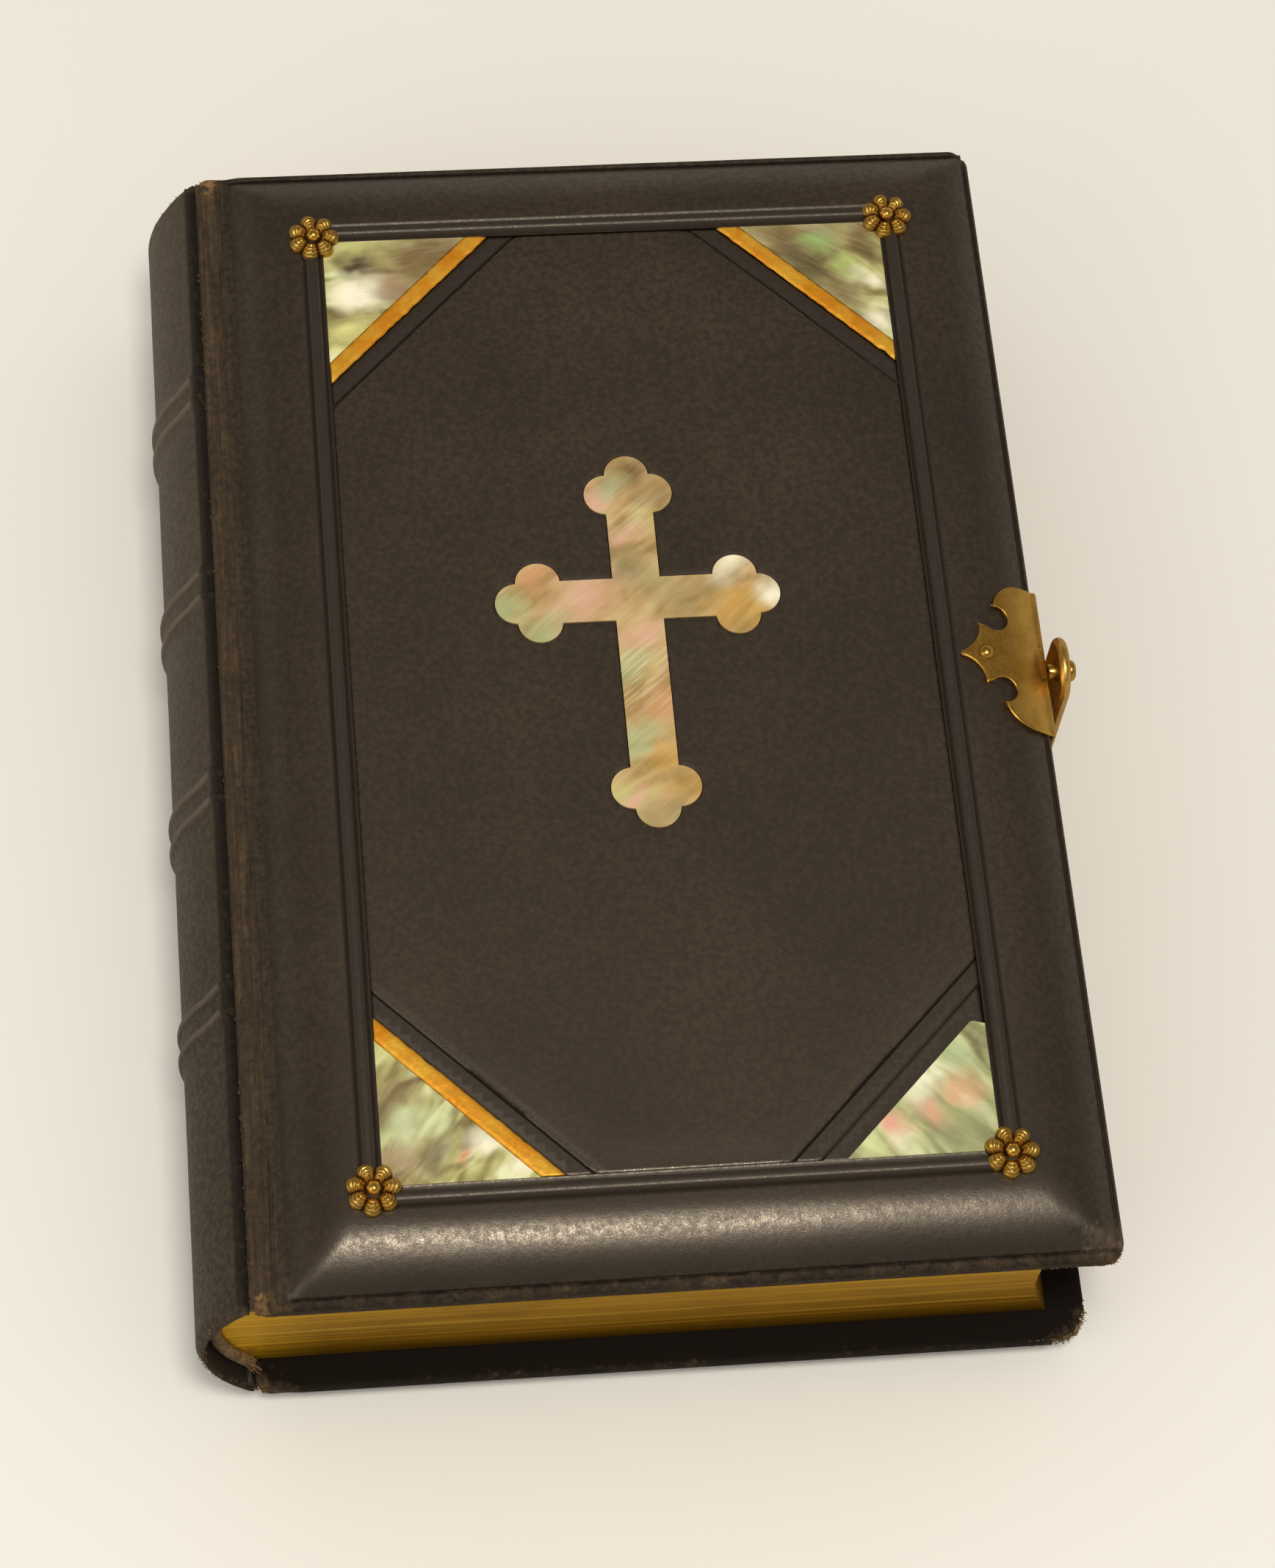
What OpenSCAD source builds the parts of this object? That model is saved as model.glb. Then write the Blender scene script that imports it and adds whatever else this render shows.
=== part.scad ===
// Hymnal in padded leather with a pearl cross, corner inlays, rosettes and a brass clasp

/* [Book] */
// Height of each cover from tail to head in mm
board_height = 180; // [172:1:188]
// Width of each cover from the joint to the fore edge in mm
board_width = 117.4; // [113.4:1:121.4]
// Thickness of the closed book over both covers in mm
book_thickness = 43; // [40:0.5:47]
// Reach of the covers past the leaves at head and tail in mm
square_ends = 4.2; // [3:0.1:5]
// Reach of the covers past the leaves at the fore edge in mm
square_fore = 5.6; // [4.5:0.1:7]
// Depth of the hollow in the fore edge of the leaves in mm
fore_hollow = 3.2; // [1.5:0.1:4]
// Rounding of the cover corners seen from above in mm
corner_round = 3; // [1.5:0.5:5]

/* [Padded covers] */
// Thickness of each cover at its middle in mm
cover_thickness = 6.8; // [6.4:0.1:7.6]
// Width of the padded slope round the middle in mm
slope_width = 10.6; // [9.6:0.1:11]
// Drop of the padded slope from the middle to the edge in mm
slope_drop = 3.8; // [3.4:0.1:4]
// Thickness of the pasteboard inside each cover in mm
board_core = 2; // [1.6:0.1:2.2]
// Width of the raised leather bead in mm
bead_width = 2.1; // [1.6:0.1:2.4]
// Distance from the head and tail edges to the bead in mm
bead_margin = 13.4; // [12.8:0.1:14]

/* [Spine] */
// How far the rounded spine stands out from the joints in mm
spine_round = 6.6; // [5:0.1:8]
// Thickness of the spine leather in mm
spine_leather_thickness = 1.4; // [1.2:0.1:1.8]
// Distance between one pair of raised bands and the next in mm
band_pitch = 32.5; // [30:0.5:34]
// Distance between the two ridges of a raised band in mm
ridge_gap = 3.9; // [3.2:0.1:5]

/* [Inlays] */
// Height of the pearl cross in mm
cross_height = 60; // [52:1:66]
// Width of the pearl cross in mm
cross_width = 41; // [36:1:46]
// Width of the arms of the cross in mm
cross_arm = 6.8; // [5.5:0.1:8]
// Length of the short sides of the corner triangles in mm
triangle_leg = 21; // [18:0.5:24]
// Width of the gilt strips beside the triangles in mm
strip_width = 2.5; // [2:0.1:3]

/* [Rosettes and clasp] */
// Distance from the middle of a rosette to the middle of its petals in mm
petal_ring = 2.3; // [2:0.1:2.5]
// Length of the clasp plate along the fore edge in mm
plate_length = 23.4; // [22:0.2:25]
// Thickness of the brass sheet of the clasp plates in mm
plate_thickness = 0.8; // [0.6:0.1:1]
// Width of the hasp in mm
hasp_width = 9.8; // [8.8:0.2:11]
// Thickness of the hasp in mm
hasp_thickness = 1.3; // [1:0.1:1.6]
// Diameter of the knob on the hasp in mm
knob_diameter = 3.4; // [3:0.1:4]

/* [Hidden] */
// Outline of the covers, measured from the middle of the bead frame
margin_fore = 14;
margin_joint = 16.6;
half_y = board_height / 2;
bead_x = (board_width - margin_fore - margin_joint) / 2;
bead_y = half_y - bead_margin;
edge_joint = -bead_x - margin_joint;
edge_fore = bead_x + margin_fore;

// Padded slope, the fine line pressed at its foot, and where each cover lies
rim_x = 2.4;
rim_y = 1.3;
top_x = bead_x + rim_x;
top_y = bead_y + rim_y;
slope_radius = (slope_width * slope_width + slope_drop * slope_drop) / (2 * slope_drop);
flange_z = cover_thickness - slope_drop;
foot_width = 0.5;
foot_depth = 0.3;
front_z = book_thickness - cover_thickness;
mid_z = book_thickness / 2;

// Pasteboard, turned-in leather and pastedown of each cover
board_inset = 1.2;
turn_in = 0.6;
pastedown_joint = 4;
pastedown_fore = 10;
pastedown_ends = 10;
pastedown_gap = 0.1;

// Bead frame and the grooves beside it
groove_width = 0.6;
groove_depth = 0.35;
bead_sink = 0.15;

// Leaves
leaf_gap = 0.2;
leaves_back = edge_joint - 2 * leaf_gap;
leaves_half_y = half_y - square_ends;
leaves_fore = edge_fore - square_fore;
leaves_low = cover_thickness + leaf_gap;
leaves_thick = book_thickness - 2 * leaves_low;
hollow_radius = (leaves_thick * leaves_thick / 4 + fore_hollow * fore_hollow) / (2 * fore_hollow);

// Spine leather, its double bands and the end bands
spine_gap = 1.2;
spine_step = 0.9;
spine_short = 0.3;
spine_end = edge_joint - spine_gap;
spine_half = mid_z - slope_drop - spine_step;
spine_radius = (spine_half * spine_half + spine_round * spine_round) / (2 * spine_round);
spine_axis_x = spine_end - spine_round + spine_radius;
spine_inner = spine_radius - spine_leather_thickness;
band_shift = 3.65;
ridge_radius = 0.95;
ridge_sink = 0.2;
end_band_radius = 0.9;
end_band_drop = 1.3;
end_band_lift = 0.3;

// Pearl cross with three lobes at each end
lobe_radius = cross_arm * 0.47;
lobe_pitch = lobe_radius * 1.97;
lobe_root = lobe_radius * 1.5;
cross_low = -24.1;
cross_bar_y = cross_low + cross_height * 0.607;
pearl_thickness = 1;

// Corner triangles, gilt strips in their channels, and the fine line beyond them
inlay_inset = 1.7;
corner_x = bead_x - inlay_inset;
corner_y = bead_y - inlay_inset;
diagonal = sqrt(2);
strip_reach = triangle_leg + strip_width * diagonal;
channel_depth = 0.5;
gilt_thickness = 0.4;
line_gap = 2.5;
line_width = 0.7;
line_depth = 0.3;
line_reach = strip_reach + line_gap * diagonal;

// Rosettes on shanks
rosette_in_x = 0.4;
rosette_in_y = 1.1;
rosette_x = bead_x - rosette_in_x;
rosette_y = bead_y - rosette_in_y;
petal_count = 7;
petal_turn = 5;
petal_radius = 1.25;
petal_rise = 0.55;
ball_radius = 1.05;
ball_rise = 1;
disc_reach = 0.5;
disc_radius = petal_ring + disc_reach;
disc_height = 0.8;
seat_clear = 0.2;
rosette_seat = petal_ring + petal_radius + seat_clear;
shank_radius = 0.75;
shank_length = 4.5;

// Clasp plates bent from sheet over the slope, with a lip down the edge
clasp_y = 0.7;
lip_gap = 0.1;
lip_out = edge_fore + lip_gap + plate_thickness;
lip_join = 0.9;
front_lip = 2.8;
back_lip = 2;
plate_sink = 0.05;
plate_radius = slope_radius + plate_thickness - plate_sink;
end_radius = 4.75;
end_reach = 1.8;
end_x = edge_fore - end_reach;
end_y = plate_length / 2 - end_radius;
neck_reach = 5;
neck_x = edge_fore - neck_reach;
waist_reach = 8.8;
waist_in = 2.4;
waist_x = edge_fore - waist_reach;
waist_y = end_y - waist_in;
tip_reach = 12.2;
tip_x = edge_fore - tip_reach;
nick_radius = 1.9;
nick_reach = 6.4;
nick_in = 1.2;
nick_x = edge_fore - nick_reach;
nick_y = end_y - nick_in;
sweep_radius = 4.5;
sweep_reach = 13.45;
sweep_in = 2.3;
sweep_x = edge_fore - sweep_reach;
sweep_y = end_y - sweep_in;
back_plate_reach = 6;
back_plate_side = 1.6;
back_plate_x = edge_fore - back_plate_reach;
back_plate_half = hasp_width / 2 + back_plate_side;

// Rivets square to the slope, sunk a little into the plates
rivet_rise = 0.75;
rivet_sink = 0.05;
rivet_shank = 0.6;
front_rivet_reach = 8.4;
front_rivet_x = edge_fore - front_rivet_reach;
front_rivet_round = 1.3;
front_rivet_length = 5.4;
back_rivet_reach = 3;
back_rivet_in = 1;
back_rivet_x = edge_fore - back_rivet_reach;
back_rivet_y = hasp_width / 2 - back_rivet_in;
back_rivet_round = 1.4;
back_rivet_length = 3.6;

// Hasp on its pin, and the stud that snaps into the front lip
snap_drop = 6.6;
snap_z = book_thickness - snap_drop;
hasp_gap = 1.7;
hasp_in = lip_out + hasp_gap;
hinge_x = hasp_in + hasp_thickness / 2;
hinge_rise = 2;
hinge_z = slope_drop + hinge_rise;
barrel_radius = 1.75;
barrel_length = 5;
knuckle_length = 3.7;
knuckle_gap = 0.2;
knuckle_y = (barrel_length + knuckle_length) / 2 + knuckle_gap;
tab_thickness = 0.9;
tab_root = 0.4;
shoulder_gap = 0.4;
shoulder_z = hinge_z + barrel_radius + shoulder_gap;
pin_radius = 0.6;
pin_clear = 0.05;
pin_length = 2 * knuckle_y + knuckle_length;
nose_radius = 1.1;
nose_clear = 0.3;
nose_length = hasp_gap - nose_clear;
socket_radius = nose_radius + nose_clear;

// Play of shanks in their bores, reach of cutters past a face, overlap of joined solids
bore_clear = 0.02;
overcut = 1;
overlap = 0.1;
$fn = 48;

// Cover solids, drawn with the inner face at height zero

module cover_profile(low, high, top_low, top_high) {
  difference() {
    union() {
      translate([low, 0]) square([high - low, flange_z]);
      translate([top_low, 0]) square([top_high - top_low, cover_thickness]);
      intersection() {
        union() {
          translate([top_low, cover_thickness - slope_radius]) circle(slope_radius, $fn = 120);
          translate([top_high, cover_thickness - slope_radius]) circle(slope_radius, $fn = 120);
        }
        translate([top_low - slope_width, flange_z / 2])
          square([top_high - top_low + 2 * slope_width, cover_thickness]);
      }
    }
    translate([top_low - slope_width - foot_width, flange_z - foot_depth]) square([foot_width, overcut]);
    translate([top_high + slope_width, flange_z - foot_depth]) square([foot_width, overcut]);
  }
}

module cover_plan() {
  r = corner_round;
  translate([edge_joint, -half_y + r]) square([board_width, board_height - 2 * r]);
  translate([edge_joint + r, -half_y]) square([board_width - 2 * r, board_height]);
  for (x = [edge_joint + r, edge_fore - r])
    for (y = [-half_y + r, half_y - r])
      translate([x, y]) circle(r);
}

module cover_solid() {
  intersection() {
    rotate([90, 0, 0])
      linear_extrude(board_height + 2 * overcut, center = true)
        cover_profile(edge_joint, edge_fore, -top_x, top_x);
    translate([edge_joint - overcut, 0, 0])
      rotate([90, 0, 90])
        linear_extrude(board_width + 2 * overcut)
          cover_profile(-half_y, half_y, -top_y, top_y);
    linear_extrude(cover_thickness + overcut) cover_plan();
  }
}

module core_solid() {
  translate([edge_joint + board_inset, -half_y + board_inset, turn_in])
    cube([board_width - 2 * board_inset, board_height - 2 * board_inset, board_core]);
}

module window_solid(low, high) {
  translate([edge_joint + pastedown_joint, -half_y + pastedown_ends, low])
    cube([board_width - pastedown_joint - pastedown_fore, board_height - 2 * pastedown_ends, high - low]);
}

module bead_grooves() {
  wide = bead_width + 2 * groove_width;
  translate([0, 0, cover_thickness - groove_depth])
    linear_extrude(overcut)
      difference() {
        square([2 * bead_x + wide, 2 * bead_y + wide], center = true);
        square([2 * bead_x - wide, 2 * bead_y - wide], center = true);
      }
}

module bead_frame() {
  for (s = [-1, 1]) {
    translate([s * bead_x, 0, cover_thickness - bead_sink])
      rotate([90, 0, 0]) cylinder(h = 2 * bead_y, d = bead_width, center = true, $fn = 24);
    translate([0, s * bead_y, cover_thickness - bead_sink])
      rotate([0, 90, 0]) cylinder(h = 2 * bead_x, d = bead_width, center = true, $fn = 24);
  }
}

// Shapes of the inlays seen from above

module cross_end(reach) {
  translate([0, reach - lobe_radius]) circle(lobe_radius, $fn = 32);
  translate([-lobe_radius, reach - lobe_pitch]) circle(lobe_radius, $fn = 32);
  translate([lobe_radius, reach - lobe_pitch]) circle(lobe_radius, $fn = 32);
  translate([-cross_arm / 2, 0]) square([cross_arm, reach - lobe_root]);
}

module cross_plan() {
  translate([0, cross_bar_y]) {
    cross_end(cross_height + cross_low - cross_bar_y);
    rotate(90) cross_end(cross_width / 2);
    rotate(180) cross_end(cross_bar_y - cross_low);
    rotate(270) cross_end(cross_width / 2);
  }
}

module triangle_plan(sx, sy) {
  polygon([[sx * corner_x, sy * corner_y], [sx * (corner_x - triangle_leg), sy * corner_y],
           [sx * corner_x, sy * (corner_y - triangle_leg)]]);
}

module strip_plan(sx, sy, near, far) {
  polygon([[sx * (corner_x - near), sy * corner_y], [sx * (corner_x - far), sy * corner_y],
           [sx * corner_x, sy * (corner_y - far)], [sx * corner_x, sy * (corner_y - near)]]);
}

module plate_plan() {
  difference() {
    union() {
      for (s = [-1, 1])
        translate([end_x, s * end_y]) circle(end_radius);
      translate([end_x, -plate_length / 2]) square([lip_out - end_x + overcut, plate_length]);
      polygon([[tip_x, 0], [waist_x, -waist_y], [neck_x, -waist_y], [neck_x, -end_y], [edge_fore, -end_y],
               [edge_fore, end_y], [neck_x, end_y], [neck_x, waist_y], [waist_x, waist_y]]);
    }
    for (s = [-1, 1]) {
      translate([nick_x, s * nick_y]) circle(nick_radius, $fn = 32);
      translate([sweep_x, s * sweep_y]) circle(sweep_radius);
    }
  }
}

// Brass plates and rivets on the padded slope, drawn in the cover's own frame

module plate_shell(reach) {
  rotate([90, 0, 0])
    linear_extrude(2 * plate_length, center = true) {
      intersection() {
        difference() {
          translate([top_x, cover_thickness - slope_radius]) circle(plate_radius, $fn = 120);
          translate([top_x, cover_thickness - slope_radius]) circle(plate_radius - plate_thickness, $fn = 120);
        }
        translate([tip_x - overcut, 0]) square([lip_out - tip_x + overcut, 2 * cover_thickness]);
      }
      translate([lip_out - plate_thickness, -reach])
        square([plate_thickness, flange_z - lip_join + reach]);
    }
}

module front_plate_solid() {
  intersection() {
    plate_shell(front_lip);
    translate([0, clasp_y, -front_lip - overcut]) linear_extrude(3 * cover_thickness) plate_plan();
  }
}

module back_plate_solid() {
  intersection() {
    plate_shell(back_lip);
    translate([back_plate_x, clasp_y - back_plate_half, -back_lip - overcut])
      cube([lip_out - back_plate_x + overcut, 2 * back_plate_half, 3 * cover_thickness]);
  }
}

module on_slope(x, y) {
  translate([top_x, y, cover_thickness - slope_radius])
    rotate([0, asin((x - top_x) / plate_radius), 0])
      translate([0, 0, plate_radius - rivet_sink])
        children();
}

module rivet_solid(round, length) {
  intersection() {
    translate([0, 0, rivet_rise - round]) sphere(round, $fn = 24);
    cylinder(h = 2 * rivet_rise, r = 2 * round, $fn = 24);
  }
  translate([0, 0, -length]) cylinder(h = length + overlap, r = rivet_shank, $fn = 24);
}

module rivet_bore(round, length) {
  translate([0, 0, -length - bore_clear])
    cylinder(h = length + rivet_rise, r = rivet_shank + bore_clear, $fn = 24);
  cylinder(h = rivet_rise, r = sqrt(rivet_rise * (2 * round - rivet_rise)) + bore_clear, $fn = 24);
}

module front_rivet_bore() {
  on_slope(front_rivet_x, clasp_y) rivet_bore(front_rivet_round, front_rivet_length);
}

module back_rivet_bores() {
  for (s = [-1, 1])
    on_slope(back_rivet_x, clasp_y + s * back_rivet_y) rivet_bore(back_rivet_round, back_rivet_length);
}

module at_front() {
  translate([0, 0, front_z]) children();
}

module at_back() {
  translate([0, 0, cover_thickness]) mirror([0, 0, 1]) children();
}

// Back cover

module back_board() {
  color([0.62, 0.52, 0.38])
    at_back()
      difference() {
        core_solid();
        back_rivet_bores();
      }
}

module back_leather() {
  color([0.25, 0.21, 0.17])
    at_back()
      difference() {
        cover_solid();
        core_solid();
        window_solid(-overcut, turn_in);
        back_plate_solid();
        back_rivet_bores();
      }
}

module back_pastedown() {
  color([0.85, 0.8, 0.68])
    at_back() window_solid(pastedown_gap, turn_in);
}

module back_plate() {
  color([0.6, 0.45, 0.15]) {
    at_back()
      difference() {
        back_plate_solid();
        back_rivet_bores();
      }
    for (s = [-1, 1])
      translate([0, clasp_y + s * knuckle_y, 0])
        difference() {
          union() {
            translate([hinge_x, 0, hinge_z])
              rotate([90, 0, 0]) cylinder(h = knuckle_length, r = barrel_radius, center = true, $fn = 32);
            translate([lip_out - tab_root, -knuckle_length / 2, hinge_z - barrel_radius])
              cube([hinge_x - lip_out + tab_root, knuckle_length, tab_thickness]);
          }
          translate([hinge_x, 0, hinge_z])
            rotate([90, 0, 0]) cylinder(h = 2 * knuckle_length, r = pin_radius, center = true, $fn = 24);
        }
  }
}

module back_rivet(s) {
  color([0.7, 0.55, 0.2])
    at_back()
      on_slope(back_rivet_x, clasp_y + s * back_rivet_y) rivet_solid(back_rivet_round, back_rivet_length);
}

module back_rivet_head() {
  back_rivet(1);
}

module back_rivet_tail() {
  back_rivet(-1);
}

module hinge_pin() {
  color([0.7, 0.55, 0.2])
    translate([hinge_x, clasp_y, hinge_z])
      rotate([90, 0, 0]) cylinder(h = pin_length, r = pin_radius, center = true, $fn = 24);
}

// Leaves and spine

module leaves() {
  color([0.6, 0.45, 0.12])
    rotate([90, 0, 0])
      linear_extrude(2 * leaves_half_y, center = true)
        difference() {
          union() {
            translate([leaves_back, leaves_low]) square([leaves_fore - leaves_back, leaves_thick]);
            intersection() {
              translate([spine_axis_x, mid_z]) circle(spine_inner, $fn = 120);
              translate([edge_joint - spine_radius, 0]) square([spine_radius - leaf_gap, book_thickness]);
            }
          }
          translate([leaves_fore - fore_hollow + hollow_radius, mid_z]) circle(hollow_radius, $fn = 120);
        }
}

module spine_ring(radius, thick) {
  rotate([90, 0, 0]) rotate_extrude($fn = 96) translate([radius, 0]) circle(thick, $fn = 20);
}

module spine_leather() {
  color([0.27, 0.22, 0.18])
    intersection() {
      translate([spine_axis_x, 0, mid_z])
        union() {
          rotate([90, 0, 0])
            difference() {
              cylinder(h = board_height - 2 * spine_short, r = spine_radius, center = true, $fn = 120);
              cylinder(h = board_height, r = spine_inner, center = true, $fn = 120);
            }
          for (i = [0:3])
            for (s = [-1, 1])
              translate([0, band_shift + band_pitch * (1.5 - i) + s * ridge_gap / 2, 0])
                spine_ring(spine_radius - ridge_sink, ridge_radius);
        }
      translate([spine_end - spine_radius, -half_y, 0]) cube([spine_radius, board_height, book_thickness]);
    }
}

module end_band() {
  intersection() {
    translate([spine_axis_x, leaves_half_y + end_band_lift, mid_z])
      spine_ring(spine_inner - end_band_drop, end_band_radius);
    translate([spine_end - spine_radius, leaves_half_y, 0])
      cube([spine_radius, square_ends, book_thickness]);
  }
}

module headband() {
  color([0.55, 0.42, 0.25]) end_band();
}

module tailband() {
  color([0.55, 0.42, 0.25]) mirror([0, 1, 0]) end_band();
}

// Front cover

module shank_bores() {
  for (sx = [-1, 1])
    for (sy = [-1, 1])
      translate([sx * rosette_x, sy * rosette_y, cover_thickness - shank_length - bore_clear])
        cylinder(h = shank_length + overcut, r = shank_radius + bore_clear, $fn = 24);
}

module front_board() {
  color([0.62, 0.52, 0.38])
    at_front()
      difference() {
        core_solid();
        shank_bores();
        front_rivet_bore();
      }
}

module front_leather() {
  color([0.25, 0.21, 0.17])
    at_front()
      difference() {
        union() {
          difference() {
            cover_solid();
            bead_grooves();
          }
          bead_frame();
        }
        core_solid();
        window_solid(-overcut, turn_in);
        front_plate_solid();
        shank_bores();
        front_rivet_bore();
        for (sx = [-1, 1])
          for (sy = [-1, 1])
            translate([sx * rosette_x, sy * rosette_y, cover_thickness]) cylinder(h = bead_width, r = rosette_seat);
        translate([0, 0, cover_thickness - pearl_thickness])
          linear_extrude(pearl_thickness + overcut) {
            cross_plan();
            for (sx = [-1, 1])
              for (sy = [-1, 1])
                triangle_plan(sx, sy);
          }
        translate([0, 0, cover_thickness - channel_depth])
          linear_extrude(channel_depth + overcut)
            for (sx = [-1, 1])
              for (sy = [-1, 1])
                strip_plan(sx, sy, triangle_leg, strip_reach);
        translate([0, 0, cover_thickness - line_depth])
          linear_extrude(line_depth + overcut)
            for (sx = [-1, 1])
              for (sy = [-1, 1])
                strip_plan(sx, sy, line_reach, line_reach + line_width);
      }
}

module front_pastedown() {
  color([0.85, 0.8, 0.68])
    at_front() window_solid(pastedown_gap, turn_in);
}

module pearl_cross() {
  color([0.78, 0.66, 0.5])
    at_front() translate([0, 0, cover_thickness - pearl_thickness]) linear_extrude(pearl_thickness) cross_plan();
}

module pearl(sx, sy) {
  color([0.75, 0.74, 0.5])
    at_front()
      translate([0, 0, cover_thickness - pearl_thickness]) linear_extrude(pearl_thickness) triangle_plan(sx, sy);
}

module pearl_head_joint() {
  pearl(-1, 1);
}

module pearl_head_fore() {
  pearl(1, 1);
}

module pearl_tail_joint() {
  pearl(-1, -1);
}

module pearl_tail_fore() {
  pearl(1, -1);
}

module gilt(sx, sy) {
  color([0.88, 0.6, 0.12])
    at_front()
      translate([0, 0, cover_thickness - channel_depth])
        linear_extrude(gilt_thickness) strip_plan(sx, sy, triangle_leg, strip_reach);
}

module gilt_head_joint() {
  gilt(-1, 1);
}

module gilt_head_fore() {
  gilt(1, 1);
}

module gilt_tail_joint() {
  gilt(-1, -1);
}

module rosette(sx, sy) {
  color([0.75, 0.55, 0.18])
    at_front()
      translate([sx * rosette_x, sy * rosette_y, cover_thickness]) {
        intersection() {
          union() {
            for (i = [0:petal_count - 1])
              rotate(petal_turn + i * 360 / petal_count)
                translate([petal_ring, 0, petal_rise]) sphere(petal_radius, $fn = 16);
            translate([0, 0, ball_rise]) sphere(ball_radius, $fn = 16);
          }
          cylinder(h = 2 * rosette_seat, r = 2 * rosette_seat, $fn = 12);
        }
        cylinder(h = disc_height, r = disc_radius, $fn = 32);
        translate([0, 0, -shank_length]) cylinder(h = shank_length + overlap, r = shank_radius, $fn = 24);
      }
}

module rosette_head_joint() {
  rosette(-1, 1);
}

module rosette_head_fore() {
  rosette(1, 1);
}

module rosette_tail_joint() {
  rosette(-1, -1);
}

module rosette_tail_fore() {
  rosette(1, -1);
}

module front_plate() {
  color([0.6, 0.45, 0.15])
    difference() {
      at_front()
        difference() {
          front_plate_solid();
          front_rivet_bore();
        }
      translate([lip_out - end_radius, clasp_y, snap_z])
        rotate([0, 90, 0]) cylinder(h = 2 * end_radius, r = socket_radius, $fn = 32);
    }
}

module front_rivet() {
  color([0.7, 0.55, 0.2])
    at_front() on_slope(front_rivet_x, clasp_y) rivet_solid(front_rivet_round, front_rivet_length);
}

// Hasp

module hasp() {
  color([0.6, 0.45, 0.15])
    difference() {
      union() {
        translate([hasp_in, clasp_y, 0])
          rotate([90, 0, 90])
            linear_extrude(hasp_thickness) {
              translate([0, snap_z]) circle(hasp_width / 2);
              translate([-hasp_width / 2, shoulder_z]) square([hasp_width, snap_z - shoulder_z]);
              translate([-barrel_length / 2, hinge_z]) square([barrel_length, shoulder_z - hinge_z + overlap]);
            }
        translate([hinge_x, clasp_y, hinge_z])
          rotate([90, 0, 0]) cylinder(h = barrel_length, r = barrel_radius, center = true, $fn = 32);
      }
      translate([hinge_x, clasp_y, hinge_z])
        rotate([90, 0, 0]) cylinder(h = 2 * barrel_length, r = pin_radius + pin_clear, center = true, $fn = 24);
      translate([hasp_in - overcut, clasp_y, snap_z])
        rotate([0, 90, 0]) cylinder(h = hasp_thickness + 2 * overcut, r = nose_radius, $fn = 24);
    }
}

module hasp_stud() {
  color([0.7, 0.55, 0.2])
    translate([hasp_in, clasp_y, snap_z])
      rotate([0, 90, 0]) {
        translate([0, 0, -nose_length])
          cylinder(h = nose_length + hasp_thickness + overlap, r = nose_radius, $fn = 24);
        translate([0, 0, hasp_thickness])
          intersection() {
            sphere(d = knob_diameter, $fn = 24);
            cylinder(h = knob_diameter, r = knob_diameter, $fn = 12);
          }
      }
}

back_board();
back_leather();
back_pastedown();
back_plate();
back_rivet_head();
back_rivet_tail();
hinge_pin();
leaves();
spine_leather();
headband();
tailband();
front_board();
front_leather();
front_pastedown();
pearl_cross();
pearl_head_joint();
pearl_head_fore();
pearl_tail_joint();
pearl_tail_fore();
gilt_head_joint();
gilt_head_fore();
gilt_tail_joint();
rosette_head_joint();
rosette_head_fore();
rosette_tail_joint();
rosette_tail_fore();
front_plate();
front_rivet();
hasp();
hasp_stud();
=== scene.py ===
import random
from math import acos, asin, atan2, copysign, cos, degrees, exp, hypot, pi, radians, sin, sqrt

import bmesh
import bpy
import numpy as np
from mathutils import Matrix, Vector, geometry, noise


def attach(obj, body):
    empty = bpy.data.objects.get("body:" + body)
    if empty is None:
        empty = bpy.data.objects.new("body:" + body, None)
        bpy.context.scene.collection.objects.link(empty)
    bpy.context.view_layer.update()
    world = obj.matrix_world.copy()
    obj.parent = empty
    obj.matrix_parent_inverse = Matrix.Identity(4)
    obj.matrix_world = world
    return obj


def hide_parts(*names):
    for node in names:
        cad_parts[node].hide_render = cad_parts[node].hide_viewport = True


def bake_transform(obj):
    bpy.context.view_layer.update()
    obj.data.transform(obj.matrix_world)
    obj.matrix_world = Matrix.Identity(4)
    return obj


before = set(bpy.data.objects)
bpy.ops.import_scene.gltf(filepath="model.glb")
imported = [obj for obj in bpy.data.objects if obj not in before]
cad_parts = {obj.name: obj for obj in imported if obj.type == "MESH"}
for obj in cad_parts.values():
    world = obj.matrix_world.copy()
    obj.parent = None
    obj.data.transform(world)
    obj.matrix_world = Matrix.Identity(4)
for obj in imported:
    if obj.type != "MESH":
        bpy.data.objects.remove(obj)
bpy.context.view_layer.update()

# Table, lamps and camera: the book lies on a sheet of warm white card, under one wide
# soft lamp above its tail and the glow of a pale room, and is seen from above the tail.
MM = 0.001
TABLE_WIDE, TABLE_Z = 6, -0.0004
FOCAL_PIXELS, PHOTO_HIGH, FILM_WIDE = 5754.0, 2135, 36
scene = bpy.context.scene
scene.view_settings.view_transform = "Standard"


def paint(red, green, blue):
    """A colour as it is seen, 0 to 255, turned into the light that the shaders count in."""
    seen = [v / 255 for v in (red, green, blue)]
    return (*[v / 12.92 if v <= 0.04045 else ((v + 0.055) / 1.055) ** 2.4 for v in seen], 1.0)


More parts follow.
